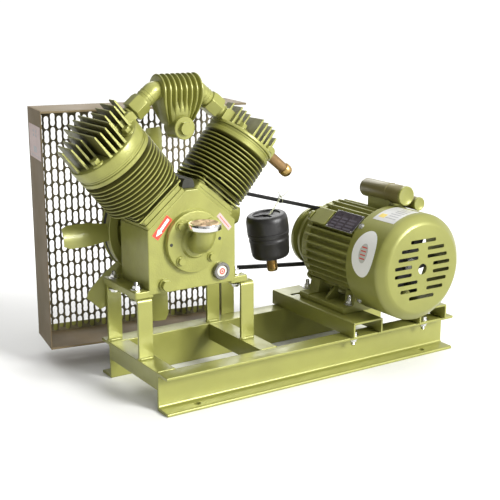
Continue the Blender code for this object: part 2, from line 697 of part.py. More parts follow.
def make_flywheel(mats):
    outside = FLYWHEEL_BELT_RADIUS + 0.002
    inner = 0.086
    y = (0.2210, 0.2580)
    profile = belt_groove(outside, FLYWHEEL_BELT_RADIUS, PULLEY_Y, y)
    profile += [(inner, y[1]), (inner, 0.2450), (0.0300, 0.2450), (0.0300, 0.2620),
                (0.0173, 0.2620), (0.0173, y[0]), (0.0300, y[0]), (0.0300, 0.2370),
                (inner, 0.2370), (inner, y[0])]
    wheel = lathe_y("flywheel", mats["olive_paint"], CRANK_X, CRANK_Z, profile, 32)
    bm = bmesh.new()
    for number in range(BLADE_COUNT):
        add_blade(bm, 2.0 * math.pi * number / BLADE_COUNT)
    blades = finish("add_fan_blades", bm, None, (CRANK_X, BLADE_Y, CRANK_Z), ALONG_Y, flat=True)
    add(wheel, blades)


def add_blade(bm, angle):
    """One pitched blade in the wheel's own plane: local X and Y across it, local Z to the front."""
    half, thick = 0.5 * BLADE_WIDTH, 0.003
    root, tip, corner = FLYWHEEL_BELT_RADIUS - 0.002, BLADE_RADIUS, 0.010
    outline = [(root, -half * 0.62), (tip - corner, -half), (tip, -half + corner),
               (tip, half - corner), (tip - corner, half), (root, half * 0.62)]
    pitch = Matrix.Rotation(BLADE_PITCH, 3, "X")
    turn = Matrix.Rotation(angle, 3, "Z")
    rows = [[bm.verts.new(turn @ pitch @ Vector((r, w, h))) for r, w in outline]
            for h in (-0.5 * thick, 0.5 * thick)]
    bm.faces.new(rows[0])
    bm.faces.new(rows[1])
    for i in range(len(outline)):
        j = (i + 1) % len(outline)
        bm.faces.new((rows[0][i], rows[0][j], rows[1][j], rows[1][i]))


def make_belt(mats):
    """The belt wraps the flywheel and the motor pulley, with a straight run above and below."""
    dx, dz = MOTOR_X - CRANK_X, MOTOR_Z - CRANK_Z
    slope = math.atan2(dz, dx)
    lean = math.asin((FLYWHEEL_BELT_RADIUS - MOTOR_BELT_RADIUS) / math.hypot(dx, dz))
    half_pi = 0.5 * math.pi
    rows = []
    for radius, x, z, start, end, steps in (
            (FLYWHEEL_BELT_RADIUS, CRANK_X, CRANK_Z, slope + half_pi - lean,
             slope + 3.0 * half_pi + lean, 18),
            (MOTOR_BELT_RADIUS, MOTOR_X, MOTOR_Z, slope - half_pi + lean,
             slope + half_pi - lean, 14)):
        for step in range(steps + 1):
            a = start + (end - start) * step / steps
            rows.append([(x + r * math.cos(a), PULLEY_Y + w, z + r * math.sin(a))
                         for r, w in ((radius, -0.5 * BELT_WIDTH), (radius, 0.5 * BELT_WIDTH),
                                      (radius - BELT_DEPTH, 0.5 * BELT_FOOT_WIDTH),
                                      (radius - BELT_DEPTH, -0.5 * BELT_FOOT_WIDTH))])
    finish("v_belt", stack_mesh(rows, closed=True), mats["rubber"], flat=True)


# ---- motor --------------------------------------------------------------------------------
def rib_outline(count):
    """Barrel outline of the motor with straight cooling ribs."""
    points = []
    for number in range(count):
        for part, radius in ((-0.30, MOTOR_CORE_RADIUS), (-0.14, MOTOR_RIB_RADIUS),
                             (0.14, MOTOR_RIB_RADIUS), (0.30, MOTOR_CORE_RADIUS)):
            a = 2.0 * math.pi * (number + part) / count
            points.append((MOTOR_X + radius * math.cos(a), MOTOR_Z + radius * math.sin(a)))
    return points


def make_motor_body(mats):
    paint = mats["olive_paint"]
    frame = prism("motor_frame", paint, rib_outline(24), "y", *MOTOR_FRAME_Y)
    foot_low = RAIL_HEIGHT + MOTOR_RAIL_HEIGHT + GAP
    for side, sign in (("left", -1.0), ("right", 1.0)):
        outline = [(0.030, foot_low), (0.106, foot_low), (0.106, foot_low + 0.014),
                   (0.082, foot_low + 0.014), (0.078, 0.165), (0.030, 0.150)]
        placed = [(MOTOR_X + sign * x, z) for x, z in outline]
        add(frame, prism(f"add_motor_foot_{side}", None, placed, "y", 0.018, 0.174))
    cut(frame, lathe_y("cut_motor_bore", None, MOTOR_X, MOTOR_Z, rod_of(MOTOR_BORE, -0.01, 0.20)))

    lathe_y("fan_end_shield", paint, MOTOR_X, MOTOR_Z,
            [(0.0160, -0.0060), (0.0300, -0.0060), (0.0400, 0.0040), (0.0900, 0.0040),
             (0.0900, MOTOR_FRAME_Y[0] - GAP), (0.0825, MOTOR_FRAME_Y[0] - GAP), (0.0825, 0.0160),
             (0.0300, 0.0160), (0.0300, 0.0240), (0.0242, 0.0240), (0.0242, 0.0040), (0.0160, 0.0040)])
    lathe_y("drive_end_shield", paint, MOTOR_X, MOTOR_Z,
            [(0.0242, 0.1660), (0.0300, 0.1660), (0.0300, 0.1740), (0.0825, 0.1740),
             (0.0825, MOTOR_FRAME_Y[1] + GAP), (0.0920, MOTOR_FRAME_Y[1] + GAP), (0.0900, 0.1860),
             (0.0450, 0.1980), (0.0160, 0.2000), (0.0160, 0.1900), (0.0242, 0.1900)])
    lathe_y("fan_end_bearing", mats["machined_steel"], MOTOR_X, MOTOR_Z,
            ring_of(SHAFT_RADIUS + GAP, 0.0239, 0.0045, 0.0195), 16)
    lathe_y("drive_end_bearing", mats["machined_steel"], MOTOR_X, MOTOR_Z,
            ring_of(SHAFT_RADIUS + GAP, 0.0239, 0.1740, 0.1895), 16)
    lathe_y("stator", mats["copper_winding"], MOTOR_X, MOTOR_Z,
            ring_of(0.0520, 0.0820, 0.0400, 0.1500))
    make_fan_cover(mats)
    for name, x, z, radius, y in (("start_capacitor", 0.5740, 0.3470, 0.0200, (-0.0130, 0.1200)),
                                  ("run_capacitor", 0.6110, 0.3262, 0.0140, (-0.0120, 0.1000))):
        lathe_y(name, paint, x, z, [(0, y[0]), (radius - 0.003, y[0]), (radius, y[0] + 0.003),
                                    (radius, y[1] - 0.004), (radius - 0.005, y[1]), (0, y[1])], 18)


def make_fan_cover(mats):
    front, rear = FAN_COVER_Y
    outer = FAN_COVER_RADIUS
    cover = lathe_y("fan_cover", mats["olive_paint"], MOTOR_X, MOTOR_Z,
                    [(0.0120, front), (0.0890, front), (0.0990, front + 0.006), (outer, front + 0.018),
                     (outer, rear), (outer - 0.002, rear), (outer - 0.002, front + 0.0188),
                     (0.0975, front + 0.0078), (0.0885, front + 0.002), (0.0120, front + 0.002)], 28)
    pitch, half = 0.0165, 0.0037
    bm = bmesh.new()
    for level, start, end in ((3.5, -0.033, 0.033), (2.5, 0.012, 0.056), (1.5, 0.012, 0.064),
                              (0.5, 0.028, 0.073)):
        spans = [(start, end)] if start < 0 else [(start, end), (-end, -start)]
        for up in (-1.0, 1.0):
            z = MOTOR_Z + up * level * pitch
            for left, right in spans:
                add_slot(bm, (MOTOR_X + left, MOTOR_X + right), (front - 0.01, front + 0.01),
                         (z - half, z + half))
    cut(cover, finish("cut_fan_slots", bm, None, flat=True))


def add_slot(bm, x, y, z):
    corners = [bm.verts.new((a, b, c)) for c in z for b in y for a in x]
    for quad in ((0, 1, 3, 2), (4, 5, 7, 6), (0, 1, 5, 4), (2, 3, 7, 6), (0, 2, 6, 4), (1, 3, 7, 5)):
        bm.faces.new([corners[i] for i in quad])


def make_motor_rotor(mats):
    lathe_y("rotor_and_shaft", mats["machined_steel"], MOTOR_X, MOTOR_Z,
            [(0, -0.0620), (SHAFT_RADIUS, -0.0620), (SHAFT_RADIUS, 0.0400), (0.0510, 0.0400),
             (0.0510, 0.1500), (SHAFT_RADIUS, 0.1500), (SHAFT_RADIUS, 0.2650), (0, 0.2650)])
    outside = MOTOR_BELT_RADIUS + 0.002
    y = (0.2300, 0.2640)
    profile = belt_groove(outside, MOTOR_BELT_RADIUS, PULLEY_Y, y)
    profile += [(0.0520, y[1]), (0.0520, 0.2540), (0.0280, 0.2540), (0.0280, y[1]),
                (SHAFT_RADIUS + GAP, y[1]), (SHAFT_RADIUS + GAP, y[0])]
    lathe_y("motor_pulley", mats["olive_paint"], MOTOR_X, MOTOR_Z, profile, 28)
    outline = []
    for number in range(6):
        for part, radius in ((-0.5, 0.026), (-0.09, 0.080), (0.09, 0.080)):
            a = 2.0 * math.pi * (number + part) / 6
            outline.append((MOTOR_X + radius * math.cos(a), MOTOR_Z + radius * math.sin(a)))
    fan = prism("cooling_fan", mats["black_plastic"], outline, "y", -0.0560, -0.0280)
    cut(fan, lathe_y("cut_fan_bore", None, MOTOR_X, MOTOR_Z,
                     rod_of(SHAFT_RADIUS + GAP, -0.070, -0.010), 16))


# ---- intake filter, tied to the belt for carriage ------------------------------------------
def make_intake_filter(mats):
    centre = Vector((0.370, 0.190, 0.252))
    lean = math.radians(8.0)
    axis = (-math.sin(lean), 0.0, math.cos(lean))
    lathe_on("intake_filter", mats["black_plastic"], centre, axis,
             [(0, -0.0480), (0.0380, -0.0480), (0.0430, -0.0400), (0.0430, -0.0100),
              (0.0450, -0.0080), (0.0450, 0.0380), (0.0400, 0.0480), (0, 0.0480)], 20)
    lathe_on("filter_stub", mats["brass"], centre, axis, ring_of(0.0080, 0.0115, -0.0800, -0.0483), 12)


def main():
    for obj in list(bpy.data.objects):
        bpy.data.objects.remove(obj, do_unlink=True)
    mats = make_materials()
    make_rails(mats)
    make_cross_members(mats)
    make_legs(mats)
    make_motor_rails(mats)
    make_guard(mats)
    make_guard_bracket(mats)
    make_crankcase(mats)
    make_case_fittings(mats)
    make_filler(mats)
    make_bank(mats, "left")
    make_bank(mats, "right")
    make_intercooler(mats)
    make_outlet(mats)
    make_crankshaft(mats)
    make_rods_and_pistons(mats)
    make_flywheel(mats)
    make_belt(mats)
    make_motor_body(mats)
    make_motor_rotor(mats)
    make_intake_filter(mats)


main()
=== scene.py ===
import math

import bmesh
import bpy
from mathutils import Matrix, Vector


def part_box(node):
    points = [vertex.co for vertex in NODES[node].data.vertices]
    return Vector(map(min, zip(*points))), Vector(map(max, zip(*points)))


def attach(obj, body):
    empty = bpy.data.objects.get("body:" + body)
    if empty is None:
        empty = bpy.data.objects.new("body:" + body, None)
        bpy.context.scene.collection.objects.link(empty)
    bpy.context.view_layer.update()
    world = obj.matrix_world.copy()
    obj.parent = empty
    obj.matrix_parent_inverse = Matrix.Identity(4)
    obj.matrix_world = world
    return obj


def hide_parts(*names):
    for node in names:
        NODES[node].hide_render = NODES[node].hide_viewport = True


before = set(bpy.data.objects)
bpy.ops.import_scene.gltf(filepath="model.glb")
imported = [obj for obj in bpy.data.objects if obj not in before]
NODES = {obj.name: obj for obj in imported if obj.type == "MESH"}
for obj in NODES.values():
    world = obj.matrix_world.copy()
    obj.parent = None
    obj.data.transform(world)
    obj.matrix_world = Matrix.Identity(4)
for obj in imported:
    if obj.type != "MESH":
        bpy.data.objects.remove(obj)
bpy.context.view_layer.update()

# Lengths below are metres from the left front corner of the base, as in the CAD: X along the
# rails, Y from the filler side to the flywheel side, Z up.  SHIFT takes them to the row's frame.
# A bank is one cylinder with its head; heights on it are measured from the crank's axis.
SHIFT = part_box("front_rail")[0] + Vector((0.0, 0.035, 0.0))
GAP = 0.0003
CRANK = Vector((0.12, 0.0, 0.294))
MOTOR = Vector((0.548, 0.0, 0.215))
BANK_ANGLE = math.radians(40.0)
BANK_Y = {"left": 0.124, "right": 0.138}
FIN_R = {"left": 0.076, "right": 0.071}
HEAD_BASE = {"left": 0.246, "right": 0.233}
HEAD_TOP = {"left": 0.294, "right": 0.272}
PORT = {"left": 0.25, "right": 0.244}
NUT_START = {"left": 0.0025, "right": 0.007}
NUT_LENGTH = 0.0305
BARREL_TOP = 0.217
BELT_Y = 0.246
BELT_R, PULLEY_R = 0.104, 0.066


# ---- materials ----------------------------------------------------------------------------
def put_node(nodes, kind, **values):
    """A shader node with its inputs set; an underscore in a name stands for a space."""
    node = nodes.new("ShaderNode" + kind)
    for name, value in values.items():
        node.inputs[name.replace("_", " ")].default_value = value
    return node


def surface(name, colour, rough, metal=0.0, vary=0.1, patch=14.0, grain=500.0, bump=0.15,
            depth=0.0004, rough_vary=0.06, coat=0.0, coat_rough=0.1, second=None, stretch=(1, 1, 1)):
    """A Principled material whose colour, roughness and relief come from layered noise."""
    mat = bpy.data.materials.new(name)
    mat.use_nodes = True
    nodes, links = mat.node_tree.nodes, mat.node_tree.links
    shader = nodes["Principled BSDF"]
    for socket, value in (("Metallic", metal), ("Coat Weight", coat), ("Coat Roughness", coat_rough)):
        shader.inputs[socket].default_value = value
    scale = put_node(nodes, "Mapping", Scale=stretch)
    links.new(put_node(nodes, "TexCoord").outputs["Object"], scale.inputs["Vector"])

    def noise(size, detail):
        node = put_node(nodes, "TexNoise", Scale=size, Detail=detail)
        links.new(scale.outputs["Vector"], node.inputs["Vector"])
        return node.outputs["Fac"]

    ramp = put_node(nodes, "ValToRGB")
    tints = ([c * (1.0 - vary) for c in colour], [min(1.0, c * (1.0 + vary)) for c in (second or colour)])
    for stop, position, tint in zip(ramp.color_ramp.elements, (0.35, 0.65), tints):
        stop.position = position
        stop.color = (*tint, 1.0)
    links.new(noise(patch, 4.0), ramp.inputs["Fac"])
    links.new(ramp.outputs["Color"], shader.inputs["Base Color"])
    spread = put_node(nodes, "MapRange", From_Min=0.3, From_Max=0.7,
                      To_Min=max(0.02, rough - rough_vary), To_Max=rough + rough_vary)
    links.new(noise(patch * 3.1, 3.0), spread.inputs["Value"])
    links.new(spread.outputs["Result"], shader.inputs["Roughness"])
    relief = put_node(nodes, "Bump", Strength=bump, Distance=depth)
    links.new(noise(grain, 2.0), relief.inputs["Height"])
    links.new(relief.outputs["Normal"], shader.inputs["Normal"])
    mat.diffuse_color = (*colour, 1.0)
    return mat


OLIVE = (0.275, 0.278, 0.066)
MATS = {
    # gloss enamel: smooth on sheet and machined faces, pebbled where the casting shows through
    "paint": surface("olive_enamel", OLIVE, 0.34, 0.3, vary=0.05, grain=260.0, bump=0.1,
                     depth=0.0005, coat=0.3, coat_rough=0.14),
    # the olive about a sixth darker on the fan cover: painted shade, so the cover looks less brightly lit
    "cover_shade_paint": surface("olive_enamel_with_painted_shade_on_fan_cover", (0.234, 0.238, 0.056), 0.42, 0.3,
                           vary=0.05, grain=260.0, bump=0.1, depth=0.0005, coat=0.24,
                           coat_rough=0.2),
    "cast_paint": surface("olive_enamel_on_casting", OLIVE, 0.38, 0.3, vary=0.09, patch=24.0,
                          grain=330.0, bump=0.55, depth=0.0008, coat=0.28, coat_rough=0.2),
    # the olive darkened for faces deep between fins: painted shade in the valleys
    "fin_shade_paint": surface("olive_enamel_with_painted_shade_between_fins", (0.12, 0.116, 0.028), 0.42, 0.3,
                         vary=0.14, patch=30.0, grain=420.0, bump=0.35, depth=0.0006, coat=0.1,
                         coat_rough=0.25),
    # the guard's sheet: olive darkened to dark olive-brown, painted shade for the inside of the guard
    "guard_sheet_shade_paint": surface("olive_enamel_with_painted_shade_on_guard_sheet", (0.105, 0.095, 0.042), 0.55, vary=0.12,
                           grain=300.0, bump=0.1, second=(0.125, 0.102, 0.05)),
    # the guard's walls, floor, roof and hem: brown-pink and darker than the olive, a painted pink reflection
    # and painted shade
    "guard_side": surface("guard_enamel_with_painted_pink_reflection_and_shade", (0.15, 0.112, 0.047), 0.62, vary=0.08, patch=6.0,
                          grain=300.0, bump=0.08, second=(0.17, 0.122, 0.062)),
    "can_paint": surface("olive_enamel_on_can", (0.185, 0.16, 0.055), 0.42, 0.2, vary=0.07,
                         grain=300.0, bump=0.08, coat=0.25, coat_rough=0.2),
    "zinc": surface("zinc_plate", (0.62, 0.62, 0.6), 0.28, 1.0, vary=0.1, patch=60.0,
                    grain=900.0, bump=0.1),
    "chrome": surface("chrome_band", (0.8, 0.8, 0.78), 0.1, 1.0, vary=0.03, rough_vary=0.04),
    "steel": surface("machined_steel", (0.5, 0.5, 0.48), 0.3, 1.0, vary=0.08, patch=40.0,
                     grain=900.0, bump=0.1, stretch=(1, 8, 1)),
    "iron": surface("dark_casting", (0.03, 0.03, 0.022), 0.55, 0.2, vary=0.25, patch=60.0,
                    grain=500.0, bump=0.5),
    "aluminium": surface("cast_aluminium", (0.6, 0.6, 0.59), 0.42, 1.0, vary=0.06,
                         grain=700.0, bump=0.25),
    "brass": surface("brass", (0.52, 0.36, 0.13), 0.34, 1.0, vary=0.16, patch=45.0,
                     grain=500.0, bump=0.15, second=(0.42, 0.27, 0.1)),
    "brown_tube": surface("primed_tube", (0.23, 0.135, 0.052), 0.42, 0.45, vary=0.16, patch=40.0,
                          grain=500.0, bump=0.2, second=(0.3, 0.19, 0.08)),
    "rubber": surface("belt_rubber", (0.014, 0.014, 0.014), 0.62, vary=0.25, patch=90.0,
                      grain=1300.0, bump=0.5, depth=0.0003),
    "black": surface("black_moulding", (0.016, 0.015, 0.015), 0.38, vary=0.2, patch=25.0,
                     grain=900.0, bump=0.04, rough_vary=0.07),
    "wire": surface("tinned_wire", (0.42, 0.44, 0.27), 0.4, 0.6, vary=0.15, patch=90.0,
                    grain=900.0, bump=0.1),
    "yellow": surface("yellow_print", (0.7, 0.52, 0.05), 0.4, vary=0.05, grain=900.0,
                      bump=0.03),
    "cork": surface("filler_cap_top", (0.32, 0.2, 0.12), 0.5, vary=0.35, patch=120.0,
                    grain=600.0, bump=0.35, second=(0.5, 0.36, 0.24)),
    "gunmetal": surface("sight_glass_rim", (0.21, 0.205, 0.19), 0.3, 0.9, vary=0.15, patch=60.0,
                        grain=900.0, bump=0.1),
    "lens": surface("sight_glass_face", (0.62, 0.6, 0.52), 0.1, vary=0.06, coat=1.0, coat_rough=0.03,
                    bump=0.01),
    "white": surface("white_label", (0.94, 0.94, 0.94), 0.35, vary=0.02, grain=900.0, bump=0.03),
    "pale": surface("grey_label", (0.58, 0.58, 0.56), 0.42, vary=0.05, patch=60.0, grain=900.0, bump=0.03),
    "smoke": surface("faded_print", (0.34, 0.34, 0.35), 0.42, vary=0.08, patch=90.0, grain=900.0, bump=0.03),
    "pink": surface("faded_pink_label", (0.5, 0.38, 0.36), 0.45, vary=0.05, patch=60.0, grain=900.0,
                    bump=0.03),
    "red": surface("red_print", (0.72, 0.06, 0.035), 0.38, vary=0.05, grain=900.0, bump=0.03),
    "grey": surface("grey_print", (0.085, 0.07, 0.095), 0.4, vary=0.08, grain=900.0, bump=0.03),
    "plate": surface("etched_plate", (0.04, 0.026, 0.036), 0.32, 0.6, vary=0.25, patch=70.0,
                     grain=900.0, bump=0.08, second=(0.06, 0.045, 0.055)),
    "copper": surface("winding", (0.42, 0.18, 0.08), 0.4, 0.8, vary=0.15, patch=80.0,
                      grain=900.0, bump=0.5),
    "floor": surface("studio_floor", (0.86, 0.86, 0.85), 0.75, vary=0.01, patch=3.0,
                     grain=60.0, bump=0.02),
}


# ---- mesh building ------------------------------------------------------------------------
ALONG_Y = Matrix(((1, 0, 0, 0), (0, 0, 1, 0), (0, -1, 0, 0), (0, 0, 0, 1)))
FLIP = Matrix.Rotation(math.pi, 4, "X")


def at(x, y, z):
    return Matrix.Translation((x, y, z))


def turn(degrees, axis):
    return Matrix.Rotation(math.radians(degrees), 4, axis)


def on_y(x, z):
    """Local Z runs along the shafts."""
    return at(x, 0.0, z) @ ALONG_Y


def on_circle(centre, radius, degrees):
    """The same, at an angle on a circle round a shaft."""
    a = math.radians(degrees)
    return on_y(centre.x + radius * math.cos(a), centre.z + radius * math.sin(a))


def bank(side):
    """Local Z runs up the cylinder, local Y along the shafts, from the crank axis."""
    sign = -1.0 if side == "left" else 1.0
    return at(CRANK.x, BANK_Y[side], CRANK.z) @ Matrix.Rotation(sign * BANK_ANGLE, 4, "Y")


def aimed(origin, direction):
    """Local Z runs along a direction from a point."""
    return Matrix.Translation(origin) @ Vector(direction).to_track_quat("Z", "Y").to_matrix().to_4x4()


def cad_box(node):
    """Corners of a CAD piece's box, measured from the base's corner."""
    low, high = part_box(node)
    return low - SHIFT, high - SHIFT


def oblong(x0, x1, y0, y1):
    return [(x0, y0), (x1, y0), (x1, y1), (x0, y1)]


def disc(radius, low, high):
    """Profile of a plain round plate or plug."""
    return [(0, low), (radius, low), (radius, high), (0, high)]


def put_rings(bm, rings, place=None, closed=False, capped=True):
    """Join rings of equal length; a ring of one point closes to a tip."""
    place = place or Matrix.Identity(4)
    rows = [[bm.verts.new(place @ Vector(p)) for p in ring] for ring in rings]
    pairs = list(zip(rows, rows[1:]))
    if closed:
        pairs.append((rows[-1], rows[0]))
    elif capped:
        for row in (rows[0], rows[-1]):
            if len(row) > 2:
                bm.faces.new(row)
    count = max(len(row) for row in rows)
    for low, high in pairs:
        for i in range(count):
            j = (i + 1) % count
            quad = [low[i % len(low)], low[j % len(low)], high[j % len(high)], high[i % len(high)]]
            quad = list(dict.fromkeys(quad))
            if len(quad) > 2:
                bm.faces.new(quad)


def put_lathe(bm, profile, place=None, sides=48, radius_at=None):
    """Turn (radius, height) about local Z; radius_at(angle) may trim each radius."""
    rings = []
    for r, h in profile:
        if r == 0:
            rings.append([(0.0, 0.0, h)])
            continue
        ring = []
        for k in range(sides):
            a = 2.0 * math.pi * (k + 0.5) / sides
            reach = min(r, radius_at(a, h)) if radius_at else r
            ring.append((reach * math.cos(a), reach * math.sin(a), h))
        rings.append(ring)
    put_rings(bm, rings, place, closed=all(r > 0 for r, _ in profile))


def put_prism(bm, outline, low, high, place=None, along="z"):
    order = {"x": lambda a, b, h: (h, a, b), "y": lambda a, b, h: (a, h, b),
             "z": lambda a, b, h: (a, b, h)}[along]
    put_rings(bm, [[order(a, b, h) for a, b in outline] for h in (low, high)], place)


def put_box(bm, x, y, z, place=None):
    put_prism(bm, oblong(*x, *y), *z, place)


def rounded(points, radius, steps=4):
    """An outline with its corners rounded; radius is one number or one for each corner."""
    out, count = [], len(points)
    for i, p in enumerate(points):
        r = radius[i] if isinstance(radius, (list, tuple)) else radius
        here = Vector(p)
        before, after = Vector(points[i - 1]) - here, Vector(points[(i + 1) % count]) - here
        if r <= 0:
            out.append(tuple(here))
            continue
        half = 0.5 * before.angle(after)
        run = min(r / math.tan(half), 0.48 * before.length, 0.48 * after.length)
        start, end = here + before.normalized() * run, here + after.normalized() * run
        for k in range(steps + 1):
            t = k / steps
            out.append(tuple((1 - t) ** 2 * start + 2 * t * (1 - t) * here + t * t * end))
    return out


def sweep(bm, points, radius, sides=16):
    """A round bar along a path of points; radius may be a list."""
    points = [Vector(p) for p in points]
    rings, side = [], None
    for i, p in enumerate(points):
        ahead = points[min(i + 1, len(points) - 1)] - points[max(i - 1, 0)]
        ahead.normalize()
        side = side or ahead.orthogonal()
        side = (side - ahead * side.dot(ahead)).normalized()
        up = ahead.cross(side)
        r = radius[i] if isinstance(radius, (list, tuple)) else radius
        rings.append([p + r * (math.cos(a) * side + math.sin(a) * up)
                      for a in (2 * math.pi * k / sides for k in range(sides))])
    put_rings(bm, rings)


def solid(name, bm, shift=SHIFT):
    """Close a mesh, move it to its place in the row's frame and put it in the scene."""
    bmesh.ops.recalc_face_normals(bm, faces=bm.faces[:])
    mesh = bpy.data.meshes.new(name)
    bm.to_mesh(mesh)
    bm.free()
    mesh.transform(Matrix.Translation(shift))
    obj = bpy.data.objects.new(name, mesh)
    bpy.context.scene.collection.objects.link(obj)
    return obj


def piece(name, bm, mat, cad=None, body="base", bevel=0.0, sharp=32.0, segments=2, cutters=(),
          shaded=None):
    """Finish a mesh as a named piece that rides on a body and may stand for a CAD node.

    shaded is (material, test on a face's centre and normal): faces that pass take that material; the fins use
    it for painted shade in their valleys.
    """
    obj = solid(name, bm)
    for cutter in cutters:
        carve(obj, cutter)
    mesh = obj.data
    mesh.materials.clear()
    mesh.materials.append(MATS[mat])
    if shaded:
        mesh.materials.append(MATS[shaded[0]])
        for face in mesh.polygons:
            face.material_index = int(shaded[1](face.center - SHIFT, face.normal))
    mesh.shade_smooth()
    if bevel:
        edge = obj.modifiers.new("edges", "BEVEL")
        edge.width = bevel
        edge.segments = segments
        edge.limit_method = "ANGLE"
        edge.angle_limit = math.radians(sharp)
        edge.harden_normals = True
    else:
        mesh.set_sharp_from_angle(angle=math.radians(sharp))
    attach(obj, body)
    if cad:
        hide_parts(cad)
    return obj


def turned(name, profile, place, sides, mat, **look):
    """A piece that is one lathe profile."""
    bm = bmesh.new()
    put_lathe(bm, profile, place, sides)
    return piece(name, bm, mat, **look)


def extruded(name, outline, low, high, place, along, mat, **look):
    """A piece that is one prism."""
    bm = bmesh.new()
    put_prism(bm, outline, low, high, place, along)
    return piece(name, bm, mat, **look)


def carve(obj, bm):
    """Cut a helper mesh out of an object now, and leave no helper behind."""
    helper = solid("helper", bm)
    cutting = obj.modifiers.new("cut", "BOOLEAN")
    cutting.operation = "DIFFERENCE"
    cutting.solver = "EXACT"
    cutting.object = helper
    shaped = obj.evaluated_get(bpy.context.evaluated_depsgraph_get())
    old = obj.data
    obj.data = bpy.data.meshes.new_from_object(shaped)
    obj.modifiers.clear()
    bpy.data.objects.remove(helper, do_unlink=True)
    bpy.data.meshes.remove(old)


# ---- small hardware -----------------------------------------------------------------------
def put_hex(bm, place, radius, height, base=0.0):
    """A hexagon head or nut with its corners turned down, standing on local Z = base."""
    flat = radius * math.cos(math.radians(30.0))
    rings = []
    for r_hex, r_cap, h in ((1.0, 1.0, 0.0), (1.0, 1.0, 0.8), (1.0, 0.9, 1.0)):
        ring = []
        for k in range(24):
            a = 2 * math.pi * k / 24
            wave = flat / math.cos((a % (math.pi / 3)) - math.pi / 6)
            r = min(wave * r_hex, radius * r_cap)
            ring.append((r * math.cos(a), r * math.sin(a), base + h * height))
        rings.append(ring)
    put_rings(bm, rings, place)


def put_bolt(bm, place, size=0.0075, head=0.0055, washer=True, stud=0.0):
    """Washer, hexagon head or nut, and the end of a stud when asked for."""
    base = 0.0
    if washer:
        put_lathe(bm, disc(size * 1.45, 0.0, 0.0014), place, 24)
        base = 0.0015
    put_hex(bm, place, size, head, base)
    if stud:
        low = base + head - 0.0005
        profile = [(0, low)]
        for k in range(int(stud / 0.0016)):
            profile += [(size * 0.56, low + k * 0.0016), (size * 0.5, low + k * 0.0016 + 0.0008)]
        profile += [(size * 0.42, low + stud), (0, low + stud)]
        put_lathe(bm, profile, place, 18)


def put_weld(bm, start, end, radius=0.0032, seed=1.0):
    """A lumpy fillet of weld between two points."""
    start, end = Vector(start), Vector(end)
    count = max(6, int((end - start).length / 0.0022))
    points, radii = [], []
    for k in range(count + 1):
        t = k / count
        points.append(start.lerp(end, t))
        swell = 1.0 + 0.16 * math.sin(k * 2.4 + seed) + 0.08 * math.sin(k * 5.1 + seed * 3)
        radii.append(radius * swell * (0.6 if k in (0, count) else 1.0))
    sweep(bm, points, radii, 10)


# ---- base ---------------------------------------------------------------------------------
def channel_outline(web, outward):
    tip, back = web + outward * 0.035, web - outward * 0.005
    points = [(back, 0.0), (tip, 0.0), (tip, 0.006), (web, 0.0065), (web, 0.0685), (tip, 0.069),
              (tip, 0.075), (back, 0.075)]
    return rounded(points, [0.0015, 0.001, 0.003, 0.006, 0.006, 0.003, 0.001, 0.0015], 4)


